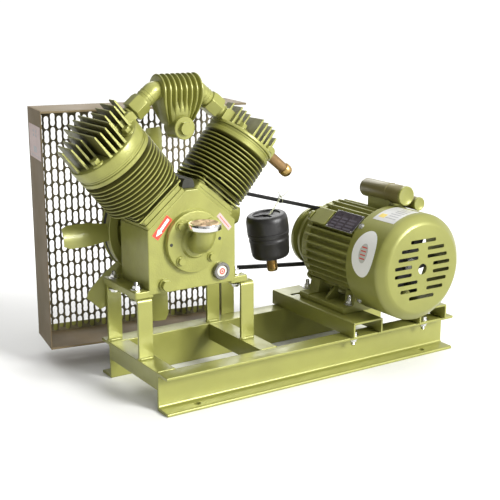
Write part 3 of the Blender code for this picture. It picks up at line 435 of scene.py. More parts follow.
def make_base():
    for name, web, outward in (("front_rail", 0.0, -1.0), ("rear_rail", 0.208, 1.0)):
        holes = bmesh.new()
        for x in (0.072, 0.628):
            put_lathe(holes, disc(0.0065, -0.01, 0.012), at(x, web + outward * 0.017, 0), 28)
        extruded(name + "_channel", channel_outline(web, outward), 0.0, 0.7, None, "x", "paint",
                 cad=name, bevel=0.0006, cutters=[holes])
    welds = bmesh.new()
    for name, x in (("left_cross_member", 0.0), ("middle_cross_member", 0.228)):
        outline = rounded([(x, 0.04), (x + 0.005, 0.04), (x + 0.005, 0.07), (x + 0.04, 0.07),
                           (x + 0.04, 0.075), (x, 0.075)], [0.001, 0.002, 0.005, 0.002, 0.001, 0.001])
        extruded(name + "_angle", outline, 0.0053, 0.2027, None, "y", "paint", cad=name, bevel=0.0005)
        for start, y, z, radius, seed in ((0.006, 0.0058, 0.0702, 0.0026, 0),
                                          (0.002, 0.005, 0.0748, 0.0016, 2),
                                          (0.002, 0.203, 0.0748, 0.0016, 1)):
            put_weld(welds, (x + start, y, z), (x + 0.038, y, z), radius, x + seed)
    low, top, thick = 0.0753, 0.1947, 0.006
    for name, x, face, inward in (("front_left_leg", 0.002, 0.078, 1.0),
                                  ("front_right_leg", 0.23, 0.078, 1.0),
                                  ("rear_left_leg", 0.002, 0.218, -1.0),
                                  ("rear_right_leg", 0.23, 0.218, -1.0)):
        back, end = face + inward * thick, face + inward * 0.04
        outline = rounded([(face, low), (face, top), (end, top), (end, top - thick),
                           (back, top - thick), (back, low)],
                          [0.0008, 0.0095, 0.001, 0.001, 0.004, 0.0008], 8)
        extruded(name + "_strip", outline, x, x + 0.03, None, "x", "paint", cad=name, bevel=0.0007)
        for x0, y0, x1, y1, radius, seed in ((0.001, face, 0.029, face, 0.0032, 0),
                                             (0.001, back, 0.029, back, 0.003, 4),
                                             (0.0005, face, 0.0005, back, 0.0026, 6)):
            put_weld(welds, (x + x0, y0, 0.0765), (x + x1, y1, 0.0765), radius, x + seed)
    top, t = 0.107, 0.004
    for name, x in (("left_motor_rail", 0.422), ("right_motor_rail", 0.598)):
        end = x + 0.075
        outline = rounded([(x, low), (x + t, low), (x + t, top - t), (end - t, top - t),
                           (end - t, low), (end, low), (end, top), (x, top)],
                          [0.001, 0.0015, 0.003, 0.003, 0.0015, 0.001, 0.0035, 0.0035])
        slots = bmesh.new()
        for y, a, b in ((0.033, 0.026, 0.05), (0.196, 0.012, 0.05)):
            shape = rounded(oblong(x + a, x + b, y - 0.0055, y + 0.0055), 0.0055, 6)
            put_prism(slots, shape, 0.098, 0.112)
        extruded(name + "_channel", outline, -0.042, 0.251, None, "y", "paint", cad=name,
                 bevel=0.0006, cutters=[slots])
        for side in (x + 0.002, x + 0.073):
            put_weld(welds, (side, 0.0055, 0.0768), (side, -0.034, 0.0768), 0.0022, x)
    piece("weld_beads", welds, "cast_paint", sharp=60)
    bolts = bmesh.new()
    for x in (0.4375, 0.627):
        for y in (-0.0205, 0.228):
            put_bolt(bolts, at(x, y, 0.075), 0.0075, 0.0055)
            put_bolt(bolts, at(x, y, 0.069) @ FLIP, 0.0075, 0.0065, stud=0.008)
    for x in (0.01, 0.23):
        for y in (0.1, 0.196):
            put_bolt(bolts, at(x, y, 0.2093), 0.0078, 0.006, stud=0.007)
            put_bolt(bolts, at(x, y, 0.1885) @ FLIP, 0.0078, 0.0055)
    for x in (0.468, 0.628):
        for y in (0.033, 0.181):
            put_bolt(bolts, at(x, y, 0.1215), 0.008, 0.0065, stud=0.012)
    piece("base_fasteners", bolts, "zinc", sharp=28)


# ---- belt guard ---------------------------------------------------------------------------
GUARD_PLACE = at(-0.08, 0.315, 0.042) @ turn(-9.0, "Z")
GUARD_LENGTH, GUARD_DEPTH, GUARD_HEIGHT = 0.435, 0.115, 0.486


def peanut(half_width, half_height, waist):
    """Outline of one slot, from its foot up the right side and down the left."""
    right = []
    for k in range(9):
        t = k / 8.0
        z = -half_height * math.cos(math.pi * t)
        full = math.sqrt(max(0.0, 1.0 - abs(z / half_height) ** 3.2))
        pinch = 1.0 - waist * math.exp(-(z / (0.42 * half_height)) ** 2)
        right.append((half_width * full * pinch, z))
    right[0], right[-1] = (0.0, -half_height), (0.0, half_height)
    return right, [(-x, z) for x, z in right]


def make_guard_label():
    """A blank sheet label with a few plain marks, on the outside of the guard's left wall."""
    for name, finish, low, high, spots in (
            ("guard_label", "pink", -0.0004, -0.0001, ((0.008, 0.106, 0.387, 0.454),)),
            ("guard_label_marks", "smoke", -0.0006, -0.0004, (
                (0.04, 0.05, 0.44, 0.445), (0.062, 0.072, 0.44, 0.445),
                (0.04, 0.05, 0.431, 0.436), (0.062, 0.072, 0.431, 0.436),
                (0.042, 0.07, 0.4, 0.412), (0.02, 0.094, 0.392, 0.3935)))):
        bm = bmesh.new()
        for spot in spots:
            put_prism(bm, rounded(oblong(*spot), 0.0006, 3), low, high, GUARD_PLACE, "x")
        piece(name, bm, finish, sharp=40)


def make_guard():
    """The sheet with its slots: each slot sits in a cell made of a left and a right face."""
    pitch_x, pitch_z, stagger = 0.0134, 0.029, 0.006
    columns, rows = 32, 16
    left = 0.5 * (GUARD_LENGTH - columns * pitch_x)
    right = left + columns * pitch_x
    base = 0.001
    frame_top = base + rows * pitch_z + stagger
    slot_right, slot_left = peanut(0.0058, 0.0136, 0.26)
    bm = bmesh.new()
    known = {}

    def vert(x, z):
        key = (round(x, 6), round(z, 6))
        if key not in known:
            known[key] = bm.verts.new((x, 0.0, z))
        return known[key]

    def face(points):
        bm.faces.new(list(dict.fromkeys(vert(x, z) for x, z in points)))

    for c in range(columns):
        x0 = left + c * pitch_x
        xm, x1 = x0 + 0.5 * pitch_x, x0 + pitch_x
        low = base + (stagger if c % 2 else 0.0)
        for r in range(rows):
            z0 = low + r * pitch_z
            zm, z1 = z0 + 0.5 * pitch_z, z0 + pitch_z
            zs = z1 - stagger if c % 2 else z0 + stagger
            face([(xm, z0), (x1, z0), (x1, zs), (x1, z1), (xm, z1)]
                 + [(xm + x, zm + z) for x, z in reversed(slot_right)])
            face([(xm, z1), (x0, z1), (x0, zs), (x0, z0), (xm, z0)]
                 + [(xm + x, zm + z) for x, z in slot_left])
        # the strip that a staggered column leaves at one end, then the plain margins
        end, edge = (base, low) if c % 2 else (low + rows * pitch_z, frame_top)
        face([(x0, end), (xm, end), (x1, end), (x1, edge), (xm, edge), (x0, edge)])
        face([(x0, 0.0), (x1, 0.0), (x1, base), (xm, base), (x0, base)])
        face([(x0, frame_top), (xm, frame_top), (x1, frame_top), (x1, GUARD_HEIGHT), (x0, GUARD_HEIGHT)])
    steps = [base + r * pitch_z + k * stagger for r in range(rows + 1) for k in (0, 1)]
    face([(0.0, 0.0), (left, 0.0)] + [(left, z) for z in steps] + [(left, GUARD_HEIGHT), (0.0, GUARD_HEIGHT)])
    face([(GUARD_LENGTH, 0.0), (GUARD_LENGTH, GUARD_HEIGHT), (right, GUARD_HEIGHT)]
         + [(right, z) for z in reversed(steps)] + [(right, 0.0)])
    bmesh.ops.transform(bm, matrix=GUARD_PLACE @ at(0, GUARD_DEPTH, 0), verts=bm.verts[:])
    # the sheet takes the dark olive-brown: painted shade
    panel = piece("guard_perforated_sheet", bm, "guard_sheet_shade_paint", cad="guard_mesh_panel", sharp=40)
    sheet = panel.modifiers.new("sheet", "SOLIDIFY")
    sheet.thickness = 0.0018
    sheet.offset = 0.0

    # walls, floor and roof take the brown-pink: painted pink reflection and painted shade
    for name, node, x, z in (
            ("guard_left_wall", "guard_left_side", (0.0, 0.002), (0.0, GUARD_HEIGHT)),
            ("guard_floor", "guard_bottom_flange", (0.0023, GUARD_LENGTH), (0.0, 0.002)),
            ("guard_roof", "guard_top_flange", (0.0023, GUARD_LENGTH), (GUARD_HEIGHT - 0.002, GUARD_HEIGHT))):
        extruded(name, oblong(*x, 0.0, GUARD_DEPTH - 0.0023), *z, GUARD_PLACE, "z", "guard_side",
                 cad=node, bevel=0.0006)
    hem = bmesh.new()
    for z in (0.0, GUARD_HEIGHT - 0.004):
        put_prism(hem, rounded(oblong(-0.0012, 0.0006, z, z + 0.004), 0.0006, 3), 0.0, GUARD_LENGTH,
                  GUARD_PLACE, "x")
    # the hem takes the same brown-pink: painted pink reflection and painted shade
    piece("guard_folded_hem", hem, "guard_side", sharp=40)
    extruded("guard_floor_lip", rounded(oblong(0.116, 0.1172, 0.0, 0.017), 0.0005, 3), 0.0, GUARD_LENGTH,
             GUARD_PLACE, "x", "paint", sharp=40)
    make_guard_label()
    welds = bmesh.new()
    for z in (0.01, GUARD_HEIGHT - 0.012):
        put_weld(welds, GUARD_PLACE @ Vector((0.0035, 0.03, z)), GUARD_PLACE @ Vector((0.0035, 0.085, z)),
                 0.0018, z)
    piece("guard_welds", welds, "cast_paint", sharp=60)
    low, high = cad_box("guard_bracket")
    inner, under = low.y + 0.005, high.z - 0.005
    outline = rounded([(low.y, low.z), (inner, low.z), (inner, under), (high.y, under),
                       (high.y, high.z), (low.y, high.z)], [0.001, 0.001, 0.004, 0.001, 0.001, 0.007], 6)
    extruded("guard_bracket_strip", outline, low.x, high.x, None, "x", "paint", cad="guard_bracket",
             bevel=0.0007)


# ---- crankcase ----------------------------------------------------------------------------
COVER_BOLT_R, COVER_BOLTS = 0.0475, (45, 135, 225, 315)      # circle and angles of the cover's bolts


def roof(dx, distance=0.084):
    """Height of the crankcase's sloping roof, dx from its middle."""
    return CRANK.z + (distance - abs(dx) * math.sin(BANK_ANGLE)) / math.cos(BANK_ANGLE)


def make_crankcase():
    half, apex = 0.095, 0.013
    cx = CRANK.x
    corners = [(cx - half, 0.2), (cx + half, 0.2), (cx + half, roof(half)), (cx + apex, roof(apex)),
               (cx - apex, roof(apex)), (cx - half, roof(half))]
    bm = bmesh.new()
    put_prism(bm, rounded(corners, [0.003, 0.003, 0.004, 0.003, 0.003, 0.004]), 0.076, 0.192, along="y")
    for sign in (-1.0, 1.0):
        x = sorted((cx + sign * (half - 0.01), cx + sign * (half + 0.029)))
        put_prism(bm, rounded(oblong(*x, 0.0763, 0.218), 0.004), 0.195, 0.209)
    put_box(bm, (cx + half - 0.004, cx + half + 0.006), (0.09, 0.14), (0.282, 0.322))
    piece("crankcase_casting", bm, "cast_paint", cad="crankcase", bevel=0.0022, segments=3)

    # front cover: a turned plate with bolt bosses and the filler neck cast into it
    bm = bmesh.new()
    place = on_y(cx, CRANK.z)
    put_lathe(bm, [(0, 0.064), (0.056, 0.064), (0.0595, 0.0648), (0.0605, 0.0672), (0.0605, 0.0757),
                   (0, 0.0757)], place, 80)
    put_lathe(bm, [(0, 0.0575), (0.0285, 0.059), (0.0325, 0.0645), (0, 0.065)], place, 48)
    for angle in COVER_BOLTS:
        put_lathe(bm, [(0, 0.0615), (0.0092, 0.0618), (0.0102, 0.0645), (0, 0.065)],
                  on_circle(CRANK, COVER_BOLT_R, angle), 28)
    axis_y, bend = 0.03, 0.026
    neck = at(cx, axis_y, CRANK.z)
    path = [(cx, 0.065, CRANK.z)]
    for k in range(13):
        a = math.radians(7.5 * k)
        path.append((cx, axis_y + bend * (1 - math.sin(a)), CRANK.z + bend * (1 - math.cos(a))))
    path.append((cx, axis_y, CRANK.z + 0.0368))
    sweep(bm, path, 0.0208, 40)
    put_lathe(bm, [(0, 0.0255), (0.0212, 0.0255), (0.0222, 0.0268), (0.0222, 0.0295), (0.0208, 0.0305),
                   (0, 0.0305)], neck, 40)
    piece("front_cover_casting", bm, "cast_paint", cad="front_cover", sharp=40)
    # two flush dark discs where the jacking holes are: painted shade inside the holes
    dark = bmesh.new()
    for angle in (0, 180):
        put_lathe(dark, [(0, 0.0636), (0.003, 0.0636), (0.0036, 0.0642), (0, 0.0644)],
                  on_circle(CRANK, 0.0525, angle), 20)
    piece("jacking_holes_painted_shade", dark, "iron")
    bolts = bmesh.new()
    for angle in COVER_BOLTS:
        put_bolt(bolts, on_circle(CRANK, COVER_BOLT_R, angle) @ at(0, 0, 0.0617) @ FLIP, 0.0074, 0.0055,
                 washer=False)
    plug = on_y(0.058, 0.216) @ at(0, 0, 0.0757) @ FLIP
    put_lathe(bolts, [(0, 0), (0.0125, 0), (0.013, 0.0045), (0, 0.005)], plug, 32)
    put_hex(bolts, plug, 0.0112, 0.009, 0.0045)
    piece("cover_bolts_and_drain", bolts, "paint", cad="drain_plug", sharp=28)

    # filler cap: chrome band and a printed fibre top
    turned("filler_cap_band",
           [(0.0214, 0.031), (0.0303, 0.031), (0.0311, 0.032), (0.0311, 0.0418), (0.0303, 0.0428),
            (0.0273, 0.0428), (0.0273, 0.038), (0.0214, 0.0372)],
           neck, 64, "chrome", cad="filler_cap", body="cap", sharp=40)
    top = bmesh.new()
    put_lathe(top, [(0, 0.0374), (0.0272, 0.0382), (0.0272, 0.0426), (0.0259, 0.044), (0.0218, 0.0436),
                    (0.0205, 0.043), (0, 0.0432)], neck, 64)
    put_box(top, (-0.016, 0.016), (-0.0012, 0.0012), (0.0425, 0.0442), neck @ turn(35, "Z"))
    piece("filler_cap_top", top, "cork", body="cap", sharp=40)

    # oil sight glass with its float spot
    eye = on_y(0.18, 0.227)
    turned("sight_glass_ring",
           [(0.0105, 0.0757), (0.0173, 0.0757), (0.0173, 0.0675), (0.0163, 0.0662), (0.0123, 0.0662),
            (0.0105, 0.068)], eye, 48, "gunmetal", cad="sight_glass", sharp=35)
    turned("sight_glass_lens",
           [(0, 0.0672), (0.0073, 0.0674), (0.0108, 0.0684), (0.0108, 0.0756), (0, 0.0756)],
           eye, 40, "lens", sharp=50)
    bm = bmesh.new()
    put_lathe(bm, [(0.0038, 0.0669), (0.0062, 0.0669), (0.0062, 0.0678), (0.0038, 0.0678)], eye, 36)
    put_lathe(bm, [(0, 0.0667), (0.002, 0.0668), (0.0021, 0.0676), (0, 0.0676)], eye, 24)
    piece("sight_glass_float_spot", bm, "red", sharp=50)

    z = roof(apex) + GAP
    outline = rounded([(0.106, z), (0.134, z), (0.132, z + 0.012), (0.128, z + 0.018), (0.112, z + 0.018),
                       (0.108, z + 0.012)], 0.002)
    extruded("breather_cap", outline, 0.09, 0.176, None, "y", "iron", cad="breather_block", bevel=0.0012)

    bm = bmesh.new()
    put_lathe(bm, [(0.02, 0.1923), (0.055, 0.1923), (0.056, 0.1935), (0.056, 0.199), (0.055, 0.2),
                   (0.042, 0.2012), (0.039, 0.2055), (0.038, 0.206), (0.02, 0.206)], place, 64)
    for k in range(6):
        put_hex(bm, on_circle(CRANK, 0.049, 60 * k + 30) @ at(0, 0, 0.1998), 0.006, 0.0045)
    piece("rear_bearing_carrier", bm, "cast_paint", cad="rear_bearing_housing", sharp=32)

    # rotation label: a red rectangle with a white arrow, and a small blank label on the other slope
    left_slope = at(0.0554, 0.076, 0.3266) @ turn(90, "X") @ turn(-131, "Z")
    right_slope = at(0.1902, 0.076, 0.3227) @ turn(90, "X") @ turn(-50, "Z")
    arrow = [(-0.02, -0.0026), (0.007, -0.0026), (0.007, -0.0058), (0.0205, 0.0), (0.007, 0.0058),
             (0.007, 0.0026), (-0.02, 0.0026)]
    for name, shape, mat, lift, place in (
            ("arrow_label_ground", oblong(-0.024, 0.024, -0.0078, 0.0078), "red", 0.0003, left_slope),
            ("arrow_label_arrow", arrow, "white", 0.0005, left_slope),
            ("slope_label", oblong(-0.0205, 0.0205, -0.005, 0.005), "pink", 0.0003, right_slope),
            ("slope_label_rule", oblong(-0.016, 0.016, -0.0007, 0.0007), "red", 0.0004, right_slope)):
        extruded(name, rounded(shape, 0.0007, 3), -0.0004, lift, place, "z", mat)


# ---- cylinders ----------------------------------------------------------------------------
def fin_rings(low, high, count, core, reach, thick):
    """Profile of a barrel's fins."""
    pitch, tip = (high - low) / count, 0.3 * thick
    points = []
    for z in (low + k * pitch for k in range(count)):
        points += [(core, z), (reach - 0.0008, z + 0.12 * thick), (reach, z + tip), (reach, z + thick - tip),
                   (reach - 0.0008, z + 0.88 * thick), (core, z + thick)]
    return points


HEAD_BOLTS = [(-0.04, -0.046), (0.04, -0.046), (-0.04, 0.046), (0.04, 0.046)]
HEAD_FINS = 12
POCKET_X, POCKET_Y = 0.024, 0.03      # fins beyond X stop at Y, to clear the head bolts


def put_head_fin(bm, place, x, near, far, base, top):
    """One straight fin: a tapered blade with a fillet where it stands on the head."""
    rings = []
    for z, half, grow in ((base - 0.0012, 0.004, 0.0012), (base + 0.0002, 0.0032, 0.0006),
                          (base + 0.0016, 0.0026, 0.0), (top - 0.0012, 0.0016, 0.0),
                          (top, 0.0008, -0.0008)):
        rings.append([(x - half, near - grow, z), (x + half, near - grow, z),
                      (x + half, far + grow, z), (x - half, far + grow, z)])
    put_rings(bm, rings, place)


def make_bank(side):
    place, fin = bank(side), FIN_R[side]
    back = place.inverted()
    scale = fin / FIN_R["left"]
    low, core = 0.0843, 0.043

    def trimmed(a, h):
        """Reach of the barrel: the lowest fins are trimmed square, clear of the base studs."""
        if h > 0.13:
            return 1.0
        side_x = 0.058 / max(abs(math.cos(a)), 1e-6)
        side_y = (0.052 if h < 0.117 else 0.066) / max(abs(math.sin(a)), 1e-6)
        return max(0.041, min(side_x, side_y))

    profile = [(core - 0.004, low), (core, low)]
    profile += fin_rings(0.106, 0.205, 12, core, fin, 0.0034)
    profile += [(core, 0.204), (fin - 0.01, 0.2055), (fin - 0.002, 0.208), (fin, 0.2095), (fin, 0.216),
                (fin - 0.001, BARREL_TOP), (core - 0.004, BARREL_TOP)]
    bm = bmesh.new()
    put_lathe(bm, profile, place, 88, trimmed)
    for z0, z1, half_x, half_y in ((low, 0.0925, 0.052, 0.048), (0.0935, 0.102, 0.05, 0.046),
                                   (0.092, 0.094, 0.0488, 0.0448)):
        put_prism(bm, rounded(oblong(-half_x, half_x, -half_y, half_y), 0.006), z0, z1, place)

    # faces deep in the valleys between the barrel's fins take the darker olive: painted shade
    def in_valley(centre, normal):
        spot = back @ centre
        edge = min(fin, trimmed(math.atan2(spot.y, spot.x), spot.z)) - 0.0016
        return 0.1055 < spot.z < 0.2075 and math.hypot(spot.x, spot.y) < edge

    piece(f"{side}_cylinder_casting", bm, "cast_paint", cad=f"{side}_cylinder", sharp=38,
          shaded=("fin_shade_paint", in_valley))

    nuts = bmesh.new()
    for x in (-0.043, 0.043):
        for y in (-0.039, 0.039):
            put_bolt(nuts, place @ at(x, y, 0.102), 0.0068, 0.0062, stud=0.006)
    # gasket joint, valve plate and the head's own lower rim
    r = fin - 0.0025
    turned(f"{side}_valve_plate_body",
           [(0, 0.2173), (r, 0.2173), (r, 0.2205), (r - 0.0012, 0.2207), (r - 0.0012, 0.2212), (r, 0.2214),
            (r, 0.2249), (0, 0.2249)], place, 88, "paint", cad=f"{side}_valve_plate", sharp=38)

    bm = bmesh.new()
    base, top = HEAD_BASE[side], HEAD_TOP[side]
    put_lathe(bm, [(0, 0.2252), (fin - 0.0008, 0.2252), (fin, 0.2262), (fin, base - 0.0035),
                   (fin - 0.001, base - 0.0014), (fin - 0.0032, base - 0.0002), (0, base)], place, 96)
    bolts = [(x * scale, y * scale) for x, y in HEAD_BOLTS]
    half, envelope = fin - 0.008, fin - 0.0055
    for k in range(HEAD_FINS):
        x = -half + 2.0 * half * k / (HEAD_FINS - 1)
        reach = math.sqrt(envelope ** 2 - (abs(x) + 0.0015) ** 2)
        if abs(x) > POCKET_X:
            reach = min(reach, POCKET_Y * scale)
        put_head_fin(bm, place, x, -reach, reach, base, top)
    # port block towards the other bank; the right head also carries the outlet block
    block = PORT[side] + 0.0125
    signs, half_y = ((1.0,), 0.0215) if side == "left" else ((-1.0, 1.0), 0.0185)
    for sign in signs:
        outline = [(sign * x, z) for x, z in ((0.022, base - 0.003), (fin + 0.002, base - 0.003),
                                              (fin + 0.002, block - 0.004), (fin - 0.004, block),
                                              (0.022, block))]
        put_prism(bm, rounded(outline, [0, 0.001, 0.003, 0.004, 0.002], 3), -half_y, half_y, place, "y")
    for x, y in bolts:
        put_lathe(bm, [(0, base - 0.003), (0.0125, base - 0.003), (0.0118, base + 0.0008),
                       (0.0108, base + 0.0014), (0, base + 0.0016)], place @ at(x, y, 0), 28)
        put_bolt(nuts, place @ at(x, y, base + 0.0015), 0.0084, 0.008)

    # the flanks of the head fins take the darker olive: painted shade between the fins
    def between_fins(centre, normal):
        spot, facing = back @ centre, back.to_3x3() @ normal
        return base + 0.0005 < spot.z < top and abs(facing.x) > 0.8 and abs(spot.x) < half + 0.003

    piece(f"{side}_head_casting", bm, "cast_paint", cad=f"{side}_head", bevel=0.0005, sharp=34,
          shaded=("fin_shade_paint", between_fins))
    piece(f"{side}_cylinder_bolts", nuts, "paint", sharp=28)


# ---- intercooler and outlet ---------------------------------------------------------------
COOLER_Y, COOLER_BOSS = 0.131, 0.505
COOLER_FINS = 8


def head_port(side, outward):
    """Where a pipe leaves the side of a head, and which way: outward is 1, or -1 to the other bank."""
    sign = -1.0 if side == "left" else 1.0
    along = Vector((sign * math.sin(BANK_ANGLE), 0, math.cos(BANK_ANGLE)))
    away = outward * Vector((sign * math.cos(BANK_ANGLE), 0, -math.sin(BANK_ANGLE)))
    axis = Vector((CRANK.x, BANK_Y[side], CRANK.z))
    return axis + along * PORT[side] + away * (FIN_R[side] + 0.0033), away


def make_intercooler():
    low, high = cad_box("intercooler")
    cx, cy, boss = 0.5 * (low.x + high.x), COOLER_Y, COOLER_BOSS
    radius, centre = 0.0335, high.z - 0.034

    def section(inset):
        """Outline in the plane of the shafts: round top, flanks that close in on the boss."""
        r, foot = radius - inset, 0.0185
        foot_z = boss + 0.012 + 1.6 * inset
        points = [(r * math.cos(a), centre + r * math.sin(a)) for a in (math.pi * k / 20 for k in range(21))]
        left = [(-r * 0.985, centre - 0.01), (-r * 0.93, centre - 0.02),
                (-foot - 0.55 * (r - foot), 0.5 * (centre - 0.02 + foot_z) + 0.002),
                (-foot, foot_z), (-foot * 0.7, foot_z - 0.006)]
        return points + left + [(-y, z) for y, z in reversed(left)]

    half, thick = 0.5 * (high.x - low.x) - 0.0004, 0.0046
    pitch = (2 * half - thick) / (COOLER_FINS - 1)

    def ring(x, inset):
        out = []
        for y, z in section(inset):
            t = min(1.0, max(0.0, (centre - 0.006 - z) / (centre - 0.006 - boss)))
            out.append((cx + (x - cx) * (1.0 - 0.46 * t * t * (1.6 - 0.6 * t)), cy + y, z))
        return out

    rings = []
    for k in range(COOLER_FINS):
        x = cx - half + k * pitch
        for step, inset in ((0, 0.003), (0.0006, 0.001), (0.0016, 0.0), (thick - 0.0016, 0.0),
                            (thick - 0.0006, 0.001), (thick, 0.003), (thick + 0.0012, 0.011),
                            (0.5 * (thick + pitch), 0.0125), (pitch - 0.0012, 0.011)):
            if step <= thick or k < COOLER_FINS - 1:
                rings.append(ring(x + step, inset))
    bm = bmesh.new()
    put_rings(bm, rings)
    # smooth funnel below the fins
    rings = []
    for z, rx, ry in ((centre - 0.004, 0.029, 0.0215), (centre - 0.02, 0.03, 0.024),
                      (centre - 0.031, 0.031, 0.0262), (centre - 0.04, 0.03, 0.0256),
                      (boss + 0.018, 0.0262, 0.0225), (boss + 0.006, 0.0232, 0.02),
                      (boss - 0.008, 0.0205, 0.0175), (boss - 0.015, 0.016, 0.014),
                      (boss - 0.0185, 0.008, 0.007)):
        rings.append([(cx + rx * math.copysign(abs(math.cos(a)) ** 0.8, math.cos(a)),
                       cy + ry * math.copysign(abs(math.sin(a)) ** 0.8, math.sin(a)), z)
                      for a in (2 * math.pi * (k + 0.5) / 48 for k in range(48))])
    put_rings(bm, rings)
    nose = on_y(cx, boss)
    put_lathe(bm, [(0, 0.1042), (0.0195, 0.1042), (0.0205, 0.1052), (0.0205, 0.11), (0.0215, 0.118),
                   (0.0225, 0.14), (0, 0.14)], nose, 56)
    piece("intercooler_casting", bm, "cast_paint", cad="intercooler", sharp=42)
    bm = bmesh.new()
    put_lathe(bm, [(0, 0.0985), (0.02, 0.0985), (0.0214, 0.0994), (0.0216, 0.1024), (0.0207, 0.1036),
                   (0, 0.1037)], nose, 64)
    put_hex(bm, nose @ at(0, 0, 0.0992) @ FLIP, 0.0134, 0.0092)
    piece("intercooler_hex_plug", bm, "paint", cad="intercooler_plug", sharp=28)

    for side, sign in (("left", -1.0), ("right", 1.0)):
        start, inward = head_port(side, -1.0)
        place = aimed(start, inward)
        foot = NUT_START[side]
        nut_end = foot + NUT_LENGTH
        turned(f"{side}_port_neck",
               [(0, -0.004), (0.015, -0.004), (0.015, -0.0008), (0.0135, 0.0004), (0.013, foot - 0.0004),
                (0, foot - 0.0004)], place, 44, "paint", sharp=35)
        bm = bmesh.new()
        put_lathe(bm, [(0, foot), (0.0178, foot), (0.019, foot + 0.0012), (0, foot + 0.0014)], place, 44)
        put_hex(bm, place, 0.0222, NUT_LENGTH - 0.0016, foot + 0.0012)
        put_lathe(bm, disc(0.0182, nut_end - 0.003, nut_end), place, 44)
        piece(f"{side}_union_hex_nut", bm, "paint", cad=f"{side}_union_nut", bevel=0.0006, sharp=25)

        # elbow: straight out of the nut, then round into the side of the intercooler
        begin = start + inward * (nut_end + GAP)
        wall = cx + sign * (half - 0.003)
        run = abs((wall - begin.x) / inward.x)
        straight = begin + inward * (0.55 * run)
        entry = Vector((wall, 0.5 * (straight.y + cy),
                        min(straight.z + 0.3 * run * math.sin(BANK_ANGLE), centre + 0.001)))
        knee = Vector((entry.x + sign * 0.35 * run * math.cos(BANK_ANGLE), entry.y, entry.z))
        knee = knee.lerp(straight + inward * 0.25 * run, 0.5)
        path = [begin.lerp(straight, k / 5.0) for k in range(5)]
        for t in (k / 10.0 for k in range(11)):
            path.append((1 - t) ** 2 * straight + 2 * t * (1 - t) * knee + t * t * entry)
        bm = bmesh.new()
        sweep(bm, path, [0.0166, 0.0172] + [0.0173] * (len(path) - 2), 44)
        for z in (nut_end + 0.0075, nut_end + 0.0145):
            put_lathe(bm, [(0.0165, z - 0.0012), (0.0179, z - 0.0005), (0.0179, z + 0.0005),
                           (0.0165, z + 0.0012)], place, 44)
        piece(f"{side}_cooler_elbow", bm, "cast_paint", cad=f"{side}_cooler_pipe", sharp=35)


def make_outlet():
    place = aimed(*head_port("right", 1.0))
    turned("outlet_tube",
           [(0, -0.003), (0.0118, -0.003), (0.0118, 0.001), (0.0108, 0.002), (0.0108, 0.047), (0, 0.047)],
           place, 36, "brown_tube", cad="outlet_pipe", sharp=35)
    turned("outlet_end_cap",
           [(0, 0.0468), (0.0118, 0.0468), (0.0132, 0.0485), (0.0132, 0.059), (0.0122, 0.062),
            (0.0095, 0.065), (0.005, 0.0662), (0, 0.0664)], place, 36, "brass", sharp=45)


# ---- flywheel, belt and pulley ------------------------------------------------------------
def groove(outside, belt_r, y0, y1):
    low = belt_r - 0.0116
    mid = 0.5 * (outside - belt_r)
    return [(outside - 0.001, y0), (outside, y0 + 0.001), (outside, BELT_Y - 0.0077 - mid),
            (low, BELT_Y - 0.0043), (low, BELT_Y + 0.0043), (outside, BELT_Y + 0.0077 + mid),
            (outside, y1 - 0.001), (outside - 0.001, y1)]


